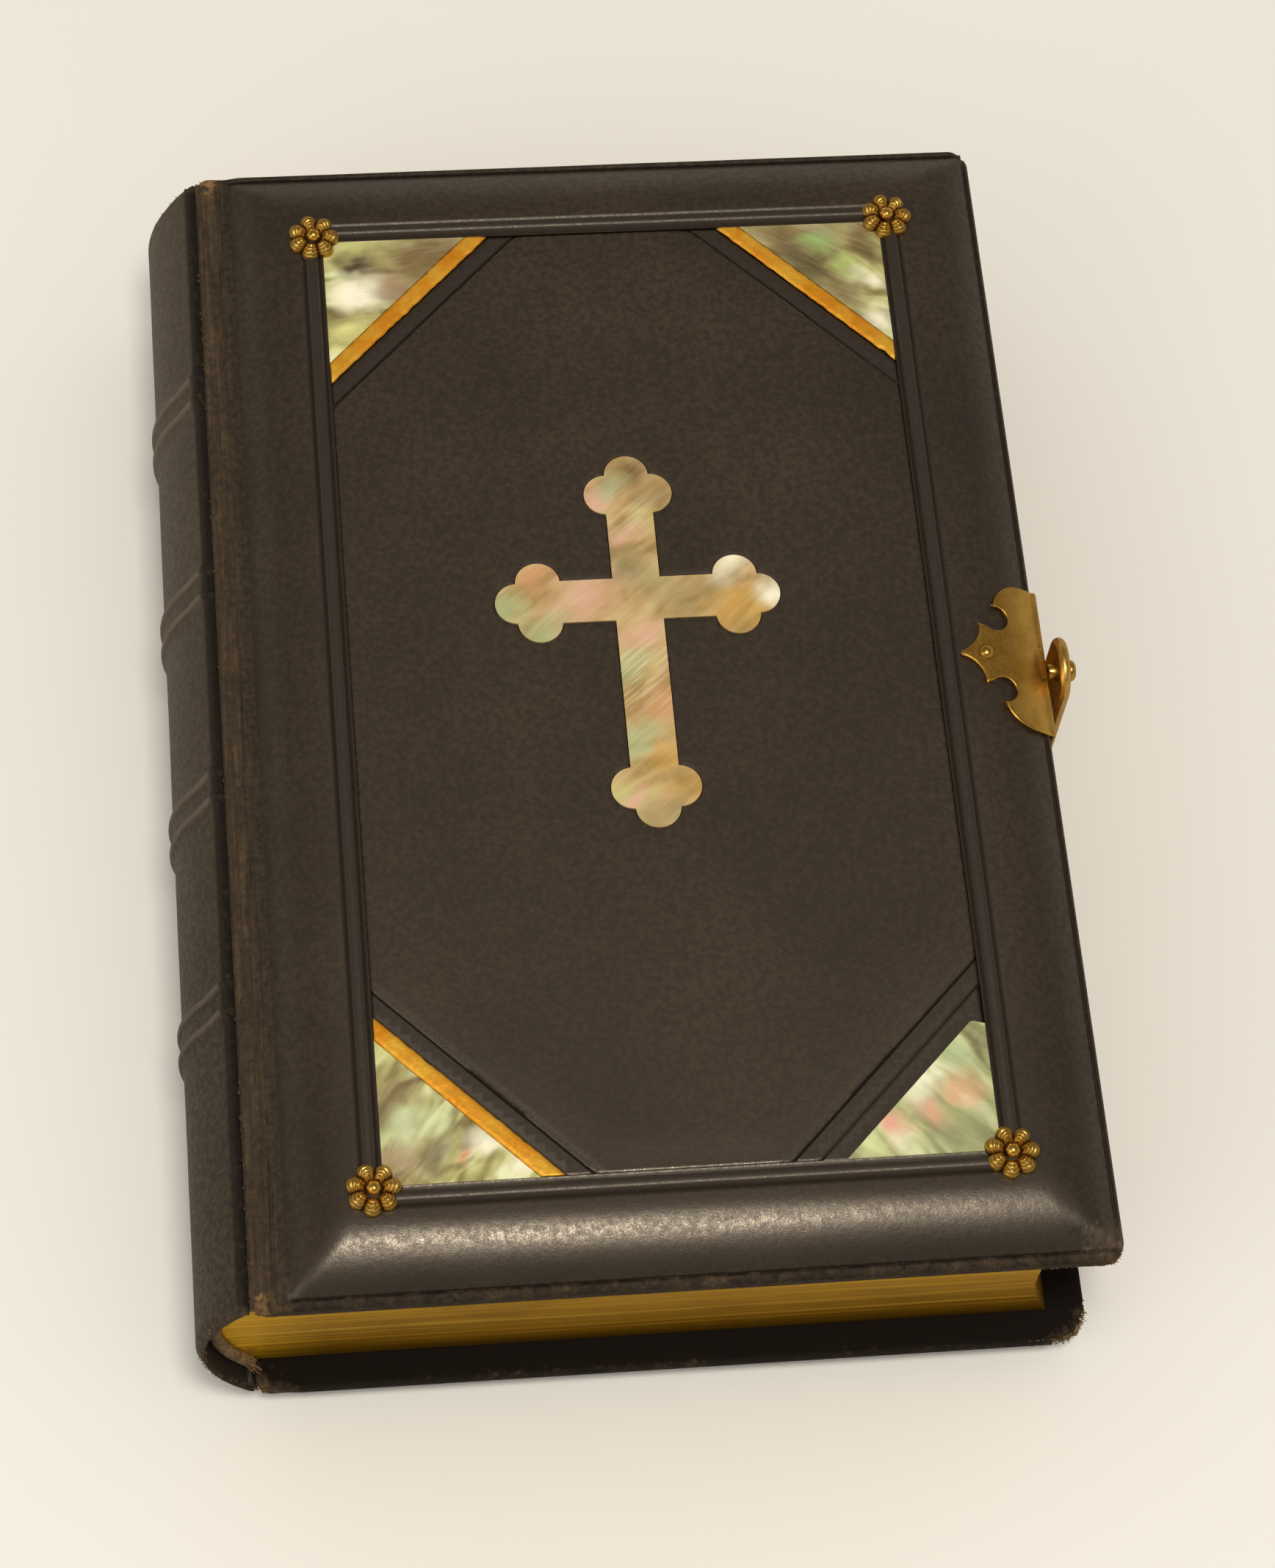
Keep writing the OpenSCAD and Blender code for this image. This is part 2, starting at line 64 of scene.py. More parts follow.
class Finish:
    """A look in the making: its nodes, its shader, and the place that its patterns go by."""

    def __init__(self, owner, shader="Principled BSDF"):
        owner.use_nodes = True
        self.owner, self.tree = owner, owner.node_tree
        self.shader = self.tree.nodes[shader]
        self.spot = self.put("TexCoord")
        self.place = self.spot.outputs["Object"]

    def feed(self, feeds, node=None):
        """Wires or sets what goes into a node, or into the shader itself."""
        for socket, value in feeds.items():
            into = (self.shader if node is None else node).inputs[socket]
            if isinstance(value, bpy.types.NodeSocket):
                self.tree.links.new(value, into)
            else:
                into.default_value = value

    def put(self, kind, feeds=None, **settings):
        """Adds a node of this kind."""
        node = self.tree.nodes.new("ShaderNode" + kind)
        for key, value in settings.items():
            setattr(node, key, value)
        self.feed(feeds or {}, node)
        return node

    def laid(self, place, turn, stretch):
        """A place turned by degrees, then drawn out along the axes of stretch."""
        turned = self.put("Mapping", {"Vector": place, "Rotation": (0, 0, radians(turn))})
        feeds = {"Vector": turned.outputs[0], "Scale": [1 / s for s in stretch]}
        return self.put("Mapping", feeds).outputs[0]

    def grain(self, size, detail=2.0, stretch=None, turn=0.0, roughness=0.5, warp=0.0):
        """Noise with spots of about this size in mm, drawn out along the axes of stretch."""
        place = self.laid(self.place, turn, stretch) if stretch else self.place
        feeds = {"Vector": place, "Scale": 1 / (size * MM), "Detail": detail,
                 "Roughness": roughness, "Distortion": warp}
        return self.put("TexNoise", feeds).outputs[0]

    def mark(self, name):
        """What a mark on the points of the piece says."""
        return self.put("Attribute", attribute_name=name).outputs["Fac"]

    def span(self, value, low, high, to_low=0.0, to_high=1.0):
        """Low to high laid out from to_low to to_high, and no further."""
        feeds = {"Value": value, "From Min": low, "From Max": high,
                 "To Min": to_low, "To Max": to_high}
        return self.put("MapRange", feeds).outputs[0]

    def calc(self, operation, first, second=0.0):
        return self.put("Math", {0: first, 1: second}, operation=operation).outputs[0]

    def plus(self, first, second):
        return self.calc("ADD", first, second)

    def times(self, first, second):
        return self.calc("MULTIPLY", first, second)

    def tint(self, share, first, second):
        """The first colour with a share of the second."""
        return self.put("Mix", {0: share, 6: first, 7: second}, data_type="RGBA").outputs[2]

    def ramp(self, share, stops):
        """Colours one after another, each (where it is reached, colour)."""
        node = self.put("ValToRGB", {0: share})
        while len(node.color_ramp.elements) < len(stops):
            node.color_ramp.elements.new(0.5)
        for element, (at, colour) in zip(node.color_ramp.elements, stops):
            element.position = at
            element.color = colour
        return node.outputs[0]

    def relief(self, *layers):
        """Bumps, each (height, strength, depth in mm), laid over one another."""
        normal = {}
        for height, strength, depth in layers:
            feeds = {"Height": height, "Strength": strength, "Distance": depth * MM, **normal}
            normal = {"Normal": self.put("Bump", feeds).outputs[0]}
        self.feed(normal)


def new_finish(name, roughness=0.5, metallic=0.0):
    finish = Finish(bpy.data.materials.new(name))
    finish.feed({"Roughness": roughness, "Metallic": metallic})
    return finish


card = new_finish("warm_white_card", 0.8)
card_tone = card.tint(card.grain(420, 1.0), paint(236, 231, 220), paint(240, 236, 227))
# painted shade: in the glossy and diffuse rays that reach the book the card is a darker grey, so
# the book reflects and is lit by a dimmer card than the camera sees
card_rays = card.put("LightPath").outputs
dimmed_rays = card.calc("MAXIMUM", card_rays["Is Glossy Ray"], card_rays["Is Diffuse Ray"])
card.feed({"Base Color": card.tint(dimmed_rays, card_tone, paint(170, 164, 154))})
card.relief((card.grain(0.8), 0.05, 0.05))
bpy.ops.mesh.primitive_plane_add(size=TABLE_WIDE, location=(0, 0, TABLE_Z))
table = bpy.context.object
table.name = "table_card"
table.data.materials.append(card.owner)

room = Finish(bpy.data.worlds.new("pale_room"), "World Output")
scene.world = room.owner
glow = room.tree.nodes["Background"]
room.feed({"Color": (1.0, 0.985, 0.96, 1), "Strength": 0.6}, glow)
upward = room.put("SeparateXYZ", {0: room.spot.outputs["Generated"]}).outputs[2]
walls = room.tint(room.span(upward, 0.1, 0.5), paint(190, 183, 172), paint(108, 104, 98))
walls_seen = room.put("Background", {"Color": walls, "Strength": 1.0})
backdrop = room.put("Background", {"Color": paint(236, 229, 216), "Strength": 1.0})
room_rays = room.put("LightPath").outputs
room_light = glow
for ray, seen in (("Is Glossy Ray", walls_seen), ("Is Camera Ray", backdrop)):
    feeds = {0: room_rays[ray], 1: room_light.outputs[0], 2: seen.outputs[0]}
    room_light = room.put("MixShader", feeds)
room.feed({"Surface": room_light.outputs[0]})


def lamp(name, at, aim, size, watts, colour):
    data = bpy.data.lights.new(name, "AREA")
    data.shape = "RECTANGLE"
    data.size, data.size_y = size
    data.energy = watts
    data.color = colour
    light = bpy.data.objects.new(name, data)
    scene.collection.objects.link(light)
    light.location = at
    light.rotation_euler = (Vector(aim) - Vector(at)).to_track_quat("-Z", "Y").to_euler()


lamp("lamp_above_tail", (0.03, -0.34, 1.2), (0, -0.05, 0.04), (0.235, 0.21), 6.8,
     (1.0, 0.94, 0.86))
lamp("lamp_left_of_tail", (-0.75, -0.45, 0.6), (0, 0, 0.02), (0.6, 0.6), 1.4, (1.0, 0.98, 0.95))

eye_turn = Matrix(((0.994279, -0.08687, 0.062156),
                   (0.050241, 0.893843, 0.445556),
                   (-0.094263, -0.439884, 0.893094)))
eye_at = Matrix.Translation((-0.058355, -0.277174, 0.570724))
eye = bpy.data.cameras.new("photo_camera")
eye.sensor_width = FILM_WIDE
eye.lens = FOCAL_PIXELS / PHOTO_HIGH * FILM_WIDE
eye.clip_start, eye.clip_end = 0.05, 10
camera = bpy.data.objects.new("photo_camera", eye)
scene.collection.objects.link(camera)
camera.matrix_world = eye_at @ eye_turn.transposed().to_4x4()
scene.camera = camera

# Leaves: one thick block of thin paper, rounded at the back and hollow at the fore edge,
# with its three cut edges gilded; the outer leaves are left as bare cream paper.
LEAVES_LOW, LEAVES_HIGH = 7.0, 36.0
LEAVES_HALF_Y = 85.8
LEAVES_FORE = 51.8
FORE_HOLLOW = 3.2
MID_Z = 21.5
SPINE_AXIS_X, SPINE_INNER = -43.116, 23.284
LAYERS, END_COLUMNS, LONG_ROWS = 72, 140, 150
STEP_MOST = 0.16
dice = random.Random(7)


def new_piece(name, points, faces, *finishes, face_finish=None, sharp=40):
    """A mesh piece from points in mm."""
    mesh = bpy.data.meshes.new(name)
    mesh.from_pydata([(x * MM, y * MM, z * MM) for x, y, z in points], [], faces)
    for finish in finishes:
        mesh.materials.append(finish.owner)
    if face_finish:
        mesh.polygons.foreach_set("material_index", face_finish)
    mesh.polygons.foreach_set("use_smooth", [True] * len(mesh.polygons))
    mesh.update()
    mesh.set_sharp_from_angle(angle=radians(sharp))
    piece = bpy.data.objects.new(name, mesh)
    scene.collection.objects.link(piece)
    return piece


def ring_faces(rings, around, start=0, flip=False, ends="shut"):
    """Faces of closed rings of points laid one on another; their ends are shut, open or joined."""
    faces = []
    for i in range(rings if ends == "joined" else rings - 1):
        low, high = start + i * around, start + (i + 1) % rings * around
        for j in range(around):
            k = (j + 1) % around
            a, b, c, d = low + j, low + k, high + k, high + j
            faces.append((a, d, c, b) if flip else (a, b, c, d))
    if ends == "shut":
        last = start + (rings - 1) * around
        caps = [tuple(range(start + around - 1, start - 1, -1)), tuple(range(last, last + around))]
        faces += [cap[::-1] if flip else cap for cap in caps]
    return faces


def waver(x, y, z):
    """Smooth unevenness, up and down from nought, that is the same in every run."""
    return noise.noise((x, y, z))


def back_of_leaves(z):
    return SPINE_AXIS_X - sqrt(SPINE_INNER ** 2 - (z - MID_Z) ** 2)


def fore_of_leaves(z):
    half = (LEAVES_HIGH - LEAVES_LOW) / 2
    radius = (half ** 2 + FORE_HOLLOW ** 2) / (2 * FORE_HOLLOW)
    return LEAVES_FORE - FORE_HOLLOW + radius - sqrt(radius ** 2 - (z - MID_Z) ** 2)


layer_z = [LEAVES_LOW + (LEAVES_HIGH - LEAVES_LOW) * i / LAYERS for i in range(LAYERS + 1)]
layer_step = [STEP_MOST * dice.random() ** 2 for _ in layer_z]


def end_of_leaves(x, i, side):
    """How far the cut head or tail edge of this layer stands out, a little uneven."""
    z = layer_z[i]
    wave = waver(x * 0.03, z * 0.25, side * 9.0) * 0.12 + waver(x * 0.12, z * 2.3, side) * 0.04
    inward = layer_step[i] + 0.12 + wave + (1 - min(i, LAYERS - i, 2) / 2) * 0.15
    return side * (LEAVES_HALF_Y - max(0.0, inward))


leaf_points = []
for i, z in enumerate(layer_z):
    low_x, high_x = back_of_leaves(z), fore_of_leaves(z)
    columns = [low_x + (high_x - low_x) * j / END_COLUMNS for j in range(END_COLUMNS)]
    leaf_points += [(x, end_of_leaves(x, i, -1), z) for x in columns]
    for j in range(LONG_ROWS + 1):
        y = (j / LONG_ROWS * 2 - 1) * (LEAVES_HALF_Y - 0.14 - layer_step[i] * 0.7)
        wave = waver(y * 0.05, z * 0.7, 4.0) * 0.12
        leaf_points.append((high_x - max(0.0, layer_step[i] + 0.1 + wave), y, z))
    leaf_points += [(x, end_of_leaves(x, i, 1), z) for x in reversed(columns)]
leaf_around = len(leaf_points) // len(layer_z)
leaf_faces = ring_faces(len(layer_z), leaf_around)
leaf_finish = ([0] * (leaf_around - 1) + [1]) * LAYERS + [1, 1]

gilt_edge = new_finish("gilt_leaf_edges", 0.42, 1.0)
thin_lines = gilt_edge.grain(0.28, 2.0, (160, 160, 1))
wide_lines = gilt_edge.grain(1.1, 2.0, (110, 110, 1))
dull_spots = gilt_edge.grain(9, 3.0, (2.0, 2.0, 1))
from_spine, _, height = gilt_edge.put("SeparateXYZ", {0: gilt_edge.place}).outputs
# painted light and shade: the gilt is painted darker low down and brighter toward its upper edge
gold = gilt_edge.ramp(gilt_edge.span(height, LEAVES_LOW * MM, LEAVES_HIGH * MM),
                      [(0.0, paint(150, 104, 60)), (0.035, paint(178, 130, 20)),
                       (0.5, paint(222, 170, 34)), (0.95, paint(250, 204, 62))])
for share, colour in (
        (gilt_edge.span(thin_lines, 0.45, 0.7, 0.0, 0.5), paint(140, 100, 22)),
        (gilt_edge.span(wide_lines, 0.55, 0.75, 0.0, 0.45), paint(250, 206, 92)),
        (gilt_edge.span(dull_spots, 0.52, 0.72, 0.0, 0.4), paint(164, 120, 28)),
        (gilt_edge.span(from_spine, -50 * MM, -62 * MM, 0.0, 0.8), paint(255, 206, 48))):
    gold = gilt_edge.tint(share, gold, colour)
gilt_edge.feed({"Base Color": gold, "Roughness": gilt_edge.span(thin_lines, 0.3, 0.7, 0.34, 0.55)})
gilt_edge.relief((thin_lines, 0.55, 0.12), (wide_lines, 0.35, 0.25))

paper = new_finish("cream_paper", 0.85)
cream = paper.tint(paper.grain(30, 4.0), paint(214, 200, 168), paint(226, 214, 186))
foxing = paper.span(paper.grain(5, 5.0), 0.66, 0.8, 0.0, 0.5)
paper.feed({"Base Color": paper.tint(foxing, cream, paint(172, 140, 92))})
paper.relief((paper.grain(0.35, 3.0), 0.12, 0.06))

leaf_block = new_piece("leaf_block", leaf_points, leaf_faces, gilt_edge, paper,
                       face_finish=leaf_finish, sharp=50)
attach(leaf_block, "leaf_block")
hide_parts("leaves")

# End bands: a twisted cord of tan thread sewn along the back of the leaves at head and
# tail; the one at the tail has lost its cap, and its loose end hangs out and frays.
BAND_RADIUS = SPINE_INNER - 1.3
STRANDS, TWISTS, STRAND_RADIUS, STRAND_OFF = 3, 13, 0.5, 0.42
CORD_STEPS = 120


def tube(path, radii, sides, points, faces):
    """Adds a closed tube along a path of points, with a radius for each of them."""
    start = len(points)
    path = [Vector(p) for p in path]
    u = Vector((0.3, 0.5, 0.8))
    for i, (p, radius) in enumerate(zip(path, radii)):
        along = (path[min(i + 1, len(path) - 1)] - path[max(i - 1, 0)]).normalized()
        u = (u - along * u.dot(along)).normalized()
        v = along.cross(u)
        for k in range(sides):
            a = 2 * pi * k / sides
            points.append(tuple(p + (u * cos(a) + v * sin(a)) * radius))
    faces += ring_faces(len(path), sides, start)


def round_spine(radius, turn, y):
    """A place this far from the spine's axis, at this turn from the middle of the back."""
    return SPINE_AXIS_X - radius * cos(turn), y, MID_Z + radius * sin(turn)


thread = new_finish("tan_thread", 0.9)
twist = thread.grain(0.25, 3.0)
strand = thread.tint(thread.span(twist, 0.3, 0.7), paint(72, 52, 28), paint(144, 112, 64))
soiled = thread.span(thread.grain(2.0, 3.0), 0.48, 0.66, 0.0, 0.75)
thread.feed({"Base Color": thread.tint(soiled, strand, paint(60, 45, 27)), "Sheen Weight": 0.08})
thread.relief((twist, 0.6, 0.12))


def end_band(name, side, low, high, loose):
    points, faces = [], []
    for k in range(STRANDS):
        path = []
        for i in range(CORD_STEPS + 1):
            a = radians(low + (high - low) * i / CORD_STEPS)
            spin = i / CORD_STEPS * 2 * pi * TWISTS + k * 2 * pi / STRANDS
            out = BAND_RADIUS + STRAND_OFF * cos(spin)
            path.append(round_spine(out, a, side * (LEAVES_HALF_Y + 0.42 + 0.4 * sin(spin))))
        tube(path, [STRAND_RADIUS] * len(path), 8, points, faces)
    for _ in range(loose):
        a = radians(low + dice.uniform(0, 9))
        at = Vector(round_spine(BAND_RADIUS, a, side * (LEAVES_HALF_Y + 0.7)))
        go = Vector((dice.uniform(0.3, 1.0), side * dice.uniform(0.05, 0.5),
                     dice.uniform(-0.5, 0.3))).normalized()
        bend = Vector((dice.uniform(-0.5, 0.5), side * dice.uniform(0, 0.3),
                       dice.uniform(-0.6, 0.1)))
        far = dice.uniform(1.2, 3.4)
        shares = (0, 0.2, 0.4, 0.6, 0.8, 1)
        path = [at + go * far * t + bend * (far * t) ** 2 * 0.12 for t in shares]
        tube(path, [0.15, 0.14, 0.12, 0.1, 0.08, 0.05], 5, points, faces)
    piece = new_piece(name, points, faces, thread)
    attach(piece, "leaf_block")
    return piece


head_cord = end_band("head_cord", 1, -41, 41, 0)
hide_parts("headband")
tail_cord = end_band("tail_cord", -1, -38, 30, 26)
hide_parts("tailband")

# Boards: two sheets of grey-brown pasteboard give the covers their stiffness; they are
# shut in between the padded leather outside and the paper lining inside.
pasteboard = new_finish("pasteboard", 0.9)
pulp = pasteboard.grain(1.2, 4.0)
board_layers = pasteboard.span(pasteboard.grain(0.4, 2.0, (40, 40, 1)), 0.4, 0.7, 0.0, 0.4)
brown = pasteboard.tint(pulp, paint(128, 104, 72), paint(168, 142, 102))
pasteboard.feed({"Base Color": pasteboard.tint(board_layers, brown, paint(92, 72, 48))})
pasteboard.relief((pulp, 0.4, 0.15))


def dress(finish, *nodes):
    """Gives carried-over solids their finish."""
    for node in nodes:
        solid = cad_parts[node]
        solid.data.materials.clear()
        solid.data.materials.append(finish.owner)


dress(pasteboard, "front_board", "back_board")

# Paper linings: a leaf of plain cream paper is pasted inside each cover, over the
# turned-in edges of the leather; it is clouded and stained with age.
lining = new_finish("lining_paper", 0.8)
lined = lining.tint(lining.grain(22, 4.0), paint(206, 190, 156), paint(220, 206, 174))
stain = lining.span(lining.grain(45, 2.0), 0.5, 0.75, 0.0, 0.45)
lining.feed({"Base Color": lining.tint(stain, lined, paint(176, 150, 108))})
lining.relief((lining.grain(0.3, 3.0), 0.15, 0.05))
dress(lining, "front_pastedown", "back_pastedown")

# Cover leather: brown calf drawn wet over a padded board, so that it slopes down on all
# sides to a narrow flange, with a fine line pressed at the foot of the slope. On the
# front a half-round bead frames a flat panel that is cut out for the inlays.
EDGE_JOINT, EDGE_FORE, HALF_Y = -60.0, 57.4, 90.0
COVER_THICK, FLANGE = 6.8, 3.0
TOP_X, TOP_Y, SLOPE_WIDE, SLOPE_ROUND = 45.8, 77.9, 10.6, 16.684
FOOT_WIDE, FOOT_DEEP = 0.5, 0.3
FOOT_LINE = TOP_Y + SLOPE_WIDE + FOOT_WIDE / 2
JOINT_TIGHT = 1.24
BEAD_X, BEAD_Y, BEAD_HALF, BEAD_RISE, BEAD_SINK = 43.4, 76.6, 1.05, 0.9, 0.15
GROOVE_WIDE, GROOVE_DEEP = 0.6, 0.26
PANEL_X, PANEL_Y = BEAD_X - BEAD_HALF - GROOVE_WIDE, BEAD_Y - BEAD_HALF - GROOVE_WIDE
FRONT_Z = 36.2
EDGE_ROUND = 0.8
TURN_IN, TURN_WIDE, TURN_JOINT, PULL_ROUND = 0.6, 10, 4, 5
RUBBED_JOINT, RUBBED_ENDS = 5.2, 1.7
FRONT_CORNERS = {(-1, -1): 2.4, (-1, 1): 2.0, (1, 1): 3.0, (1, -1): 2.6}
BACK_CORNERS = {(-1, -1): 2.4, (-1, 1): 2.0, (1, 1): 3.0, (1, -1): 5.2}
# each worn corner: its x and y, how worn, where that starts to fade and ends, how raggedly
WORN_CORNERS = ((EDGE_FORE, -HALF_Y, 1.05, 2.0, 9.0, 3.0),
                (EDGE_FORE, HALF_Y, 0.9, 0.5, 4.0, 1.0),
                (EDGE_JOINT, -HALF_Y, 1.2, 1.5, 8.5, 2.0))
# each ring round the edge: height, pull in, share of the way to the lining, wear, painted shade
EDGE_RINGS = ((1.6, 0.0, 0, 1.0, 0.85), (0.75, 0.0, 0, 0.95, 0.95), (0.3, 0.1, 0, 0.8, 0.9),
              (0.08, 0.3, 0, 0.7, 1.0), (0.0, 0.7, 0, 0.5, 1.0), (0.0, 1.6, 0, 0.25, 1.0),
              (0.0, 0.0, 0.5, 0.1, 1.0), (0.0, 0.0, 1, 0.1, 1.0), (TURN_IN, 0.0, 1, 0.0, 1.0))


def lerp(a, b, t):
    return a + (b - a) * t


def clamp(value, low, high):
    return min(max(value, low), high)


def fade(low, high, value):
    """Rises softly from 0 at low to 1 at high."""
    t = clamp((value - low) / (high - low), 0.0, 1.0)
    return t * t * (3 - 2 * t)


def fall(low, high, value):
    """Falls softly from 1 at low to 0 at high."""
    return 1 - fade(low, high, value)


def steps(low, high, count):
    return [low + (high - low) * i / count for i in range(count)]


def edge_lines(low, foot, top, bead, panel):
    """Lines across half a cover, from its edge to its middle, close where it is shaped."""
    way = 1 if low < 0 else -1
    groove = foot - way * FOOT_WIDE
    flat = abs(groove - low)
    before_bead = bead - way * (BEAD_HALF + GROOVE_WIDE + 0.1)
    lines = [low + way * d for d in (0, 0.03, 0.1, 0.2, 0.34, 0.5)]
    lines += steps(low + way * 0.8, groove - way * 0.1, round(flat / 0.4) if flat > 1 else 1)
    lines += steps(groove - way * 0.1, foot + way * 0.1, 7)
    lines += steps(foot + way * 0.1, top, 18)
    lines += steps(top, before_bead, 2)
    lines += steps(before_bead, panel, 26)
    lines += steps(panel, 0, round(abs(panel) / 1.3))
    return [round(v, 4) for v in lines]


x_lines = edge_lines(EDGE_JOINT, -TOP_X - SLOPE_WIDE, -TOP_X, -BEAD_X, -PANEL_X)
x_lines += edge_lines(EDGE_FORE, TOP_X + SLOPE_WIDE, TOP_X, BEAD_X, PANEL_X)
x_lines = sorted(set(x_lines + [0]))
y_half = edge_lines(HALF_Y, TOP_Y + SLOPE_WIDE, TOP_Y, BEAD_Y, PANEL_Y)
y_lines = sorted(set([-y for y in y_half] + [0] + y_half))


def slope_height(past):
    """Height of the padded slope this far past the flat top."""
    if past <= 0:
        return COVER_THICK
    if past <= SLOPE_WIDE:
        return COVER_THICK - SLOPE_ROUND + sqrt(SLOPE_ROUND ** 2 - past ** 2)
    into = past - SLOPE_WIDE
    if into < FOOT_WIDE:
        return FLANGE - FOOT_DEEP * sin(pi * into / FOOT_WIDE) ** 0.7
    return FLANGE + 0.12 * sin(pi * min(1.0, (into - FOOT_WIDE) / 0.9))


def soft_least(a, b, blur):
    """The lower of two heights, rounded off where they meet."""
    h = max(blur - abs(a - b), 0.0) / blur
    return min(a, b) - h * h * blur / 4


def joint_slope_height(past):
    """Height of the slope on the joint side: drawn in, and running out into a soft valley."""
    drawn_in = clamp(past * JOINT_TIGHT, 0.0, SLOPE_ROUND)
    slope = COVER_THICK - SLOPE_ROUND + sqrt(SLOPE_ROUND ** 2 - drawn_in ** 2)
    valley = FLANGE - 0.3 + 0.36 * fade(SLOPE_WIDE - 1.0, SLOPE_WIDE + 1.6, past)
    return -soft_least(-slope, -valley, 1.8)


def past_bead(x, y):
    """How far a place lies outside the middle line of the bead, negative inside it."""
    return max(abs(x) - BEAD_X, abs(y) - BEAD_Y)


def bead_height(off):
    """Rise of the half-round bead, and fall of the groove on each side of it."""
    if off < BEAD_HALF:
        t = off / BEAD_HALF
        rise = BEAD_RISE * (1 - t ** 2.6) ** 0.6
        return max(-GROOVE_DEEP, rise - BEAD_SINK - 0.1 * t ** 8)
    if off < BEAD_HALF + GROOVE_WIDE:
        return -GROOVE_DEEP * (1 - (off - BEAD_HALF) / GROOVE_WIDE) ** 1.6
    return 0.0


def rounded_corner(x, y, corners):
    """Moves a point of the square cover into its rounded outline; also how far it is inside."""
    side = (1 if x > 0 else -1, 1 if y > 0 else -1)
    r = corners[side]
    cx = EDGE_FORE - r if x > 0 else EDGE_JOINT + r
    cy = side[1] * (HALF_Y - r)
    u, v = (x - cx) * side[0] / r, (y - cy) * side[1] / r
    if u <= 0 or v <= 0:
        return x, y, min(EDGE_FORE - x, x - EDGE_JOINT, HALF_Y - abs(y))
    new_u, new_v = u * sqrt(1 - v * v / 2), v * sqrt(1 - u * u / 2)
    out = hypot(new_u, new_v)
    if corners is BACK_CORNERS and side == (1, -1):
        torn = max(0.0, waver(atan2(new_v, new_u) * 4.0, 1.0, 7.0) + 0.25)
        tear = 1 - 0.16 * out ** 3 * torn
        new_u, new_v = new_u * tear, new_v * tear
    return cx + side[0] * r * new_u, cy + side[1] * r * new_v, r * (1 - out)


def cover_point(x, y, framed, corners):
    """Place of a point of the padded leather, with how worn and how burnished it is there."""
    px, py, off_edge = rounded_corner(x, y, corners)
    past_x, past_y = abs(px) - TOP_X, abs(py) - TOP_Y
    across = slope_height(past_x) if px > 0 else joint_slope_height(past_x)
    blur = 0.25 + 0.9 * fade(0, 5, past_x) * fade(0, 5, past_y)
    z = soft_least(across, slope_height(past_y), blur)
    burnished = 0.0
    if framed:
        off = abs(past_bead(px, py))
        z += bead_height(off)
        burnished = fall(BEAD_HALF + 0.3, BEAD_HALF + GROOVE_WIDE + 0.2, off)
    if off_edge < EDGE_ROUND:
        t = 1 - off_edge / EDGE_ROUND
        z -= EDGE_ROUND * (1 - sqrt(max(0.0, 1 - t * t)))
    ragged = waver(px * 0.35, py * 0.35, 2.0)
    worn = 0.5 + 0.35 * waver(px * 0.06, py * 0.06, 9.0)
    worn *= exp(-max(0.0, off_edge - 0.2) / 0.4)
    worn *= (0.75 + 0.7 * ragged) * (0.35 if py > HALF_Y - 3 else 0.85)
    joint_in, head_in = px - EDGE_JOINT, HALF_Y - py
    strip = 0.72 + 0.16 * ragged
    strip *= (1 - 0.5 * fade(2.0, 4.6, joint_in + 0.5 * ragged)) * fall(3.6, 5.0, joint_in)
    at_head = 0.1 * fall(0.0, 16.0, head_in) + 0.5 * fall(1.0, 5.0, head_in)
    worn = max(worn, strip + at_head * fall(2.5, 4.5, joint_in))
    for corner_x, corner_y, wear, near, far, wander in WORN_CORNERS:
        to_corner = hypot(px - corner_x, py - corner_y) + wander * ragged
        worn = max(worn, (wear + 0.5 * ragged) * fall(near, far, to_corner))
    if framed and py < -HALF_Y + 1.4:
        worn = max(worn, 0.52 + 0.6 * ragged)
    z += 0.05 * waver(px * 0.09, py * 0.09, 5.0)
    z -= 0.12 * min(1.0, worn) * abs(waver(px * 1.1, py * 0.5, 8.0))
    if joint_in < 6.5:
        crease = fall(0.0, 0.28, abs(waver(px * 1.7, py * 0.035, 4.0)))
        z -= 0.22 * crease * fall(4.0, 6.5, joint_in) * fade(0.3, 0.9, off_edge)
    to_fold = hypot(EDGE_FORE - px - 3.0, HALF_Y + py - 3.5)
    if to_fold < 6 and corners is FRONT_CORNERS:
        fold = fall(0.05, 0.5, abs(px + py + 36.0 + 1.6 * ragged))
        z -= 0.25 * fold * fall(3.0, 6.0, to_fold)
    if EDGE_JOINT + 0.8 < px < EDGE_FORE - 0.8 and abs(py) < HALF_Y - 0.8:
        z = max(z, FLANGE - FOOT_DEEP - 0.03)
    return (px, py, z), worn, burnished


def painted_shade_on_cover(x, y, z):
    """Painted shade on the leather: in sunk lines and low edges, on the margin, on the tail
    flange, in the pressed foot line, and beside worn places.
    """
    past = past_bead(x, y) - BEAD_HALF - GROOVE_WIDE
    joint_in = x - EDGE_JOINT
    sunk = 0.75 * fall(2.25, 3.0, z)
    margin = 0.16 * fade(0.0, 1.2, past) + 0.22 * fade(3.0, 10.0, past)
    tail_flange = 0.62 * fade(HALF_Y - 1.75, HALF_Y - 1.45, -y)
    pressed = 0.92 * fall(0.12, 0.4, abs(FOOT_LINE - abs(y))) * fade(2.0, 6.0, joint_in)
    beside_strip = 0.5 * fade(3.7, 4.3, joint_in) * fall(4.4, 5.4, joint_in)
    return max(sunk, margin, tail_flange, pressed, beside_strip)


def grid_faces(rows, columns, start=0, flip=False):
    """Faces of a sheet of points laid row after row."""
    faces = []
    for i in range(rows - 1):
        for j in range(columns - 1):
            a = start + i * columns + j
            face = (a, a + 1, a + columns + 1, a + columns)
            faces.append(face[::-1] if flip else face)
    return faces


def rim_of(rows, columns):
    """The points round the border of such a sheet."""
    rim = list(range(columns)) + [i * columns + columns - 1 for i in range(1, rows)]
    rim += [(rows - 1) * columns + j for j in range(columns - 2, -1, -1)]
    return rim + [i * columns for i in range(rows - 2, 0, -1)]


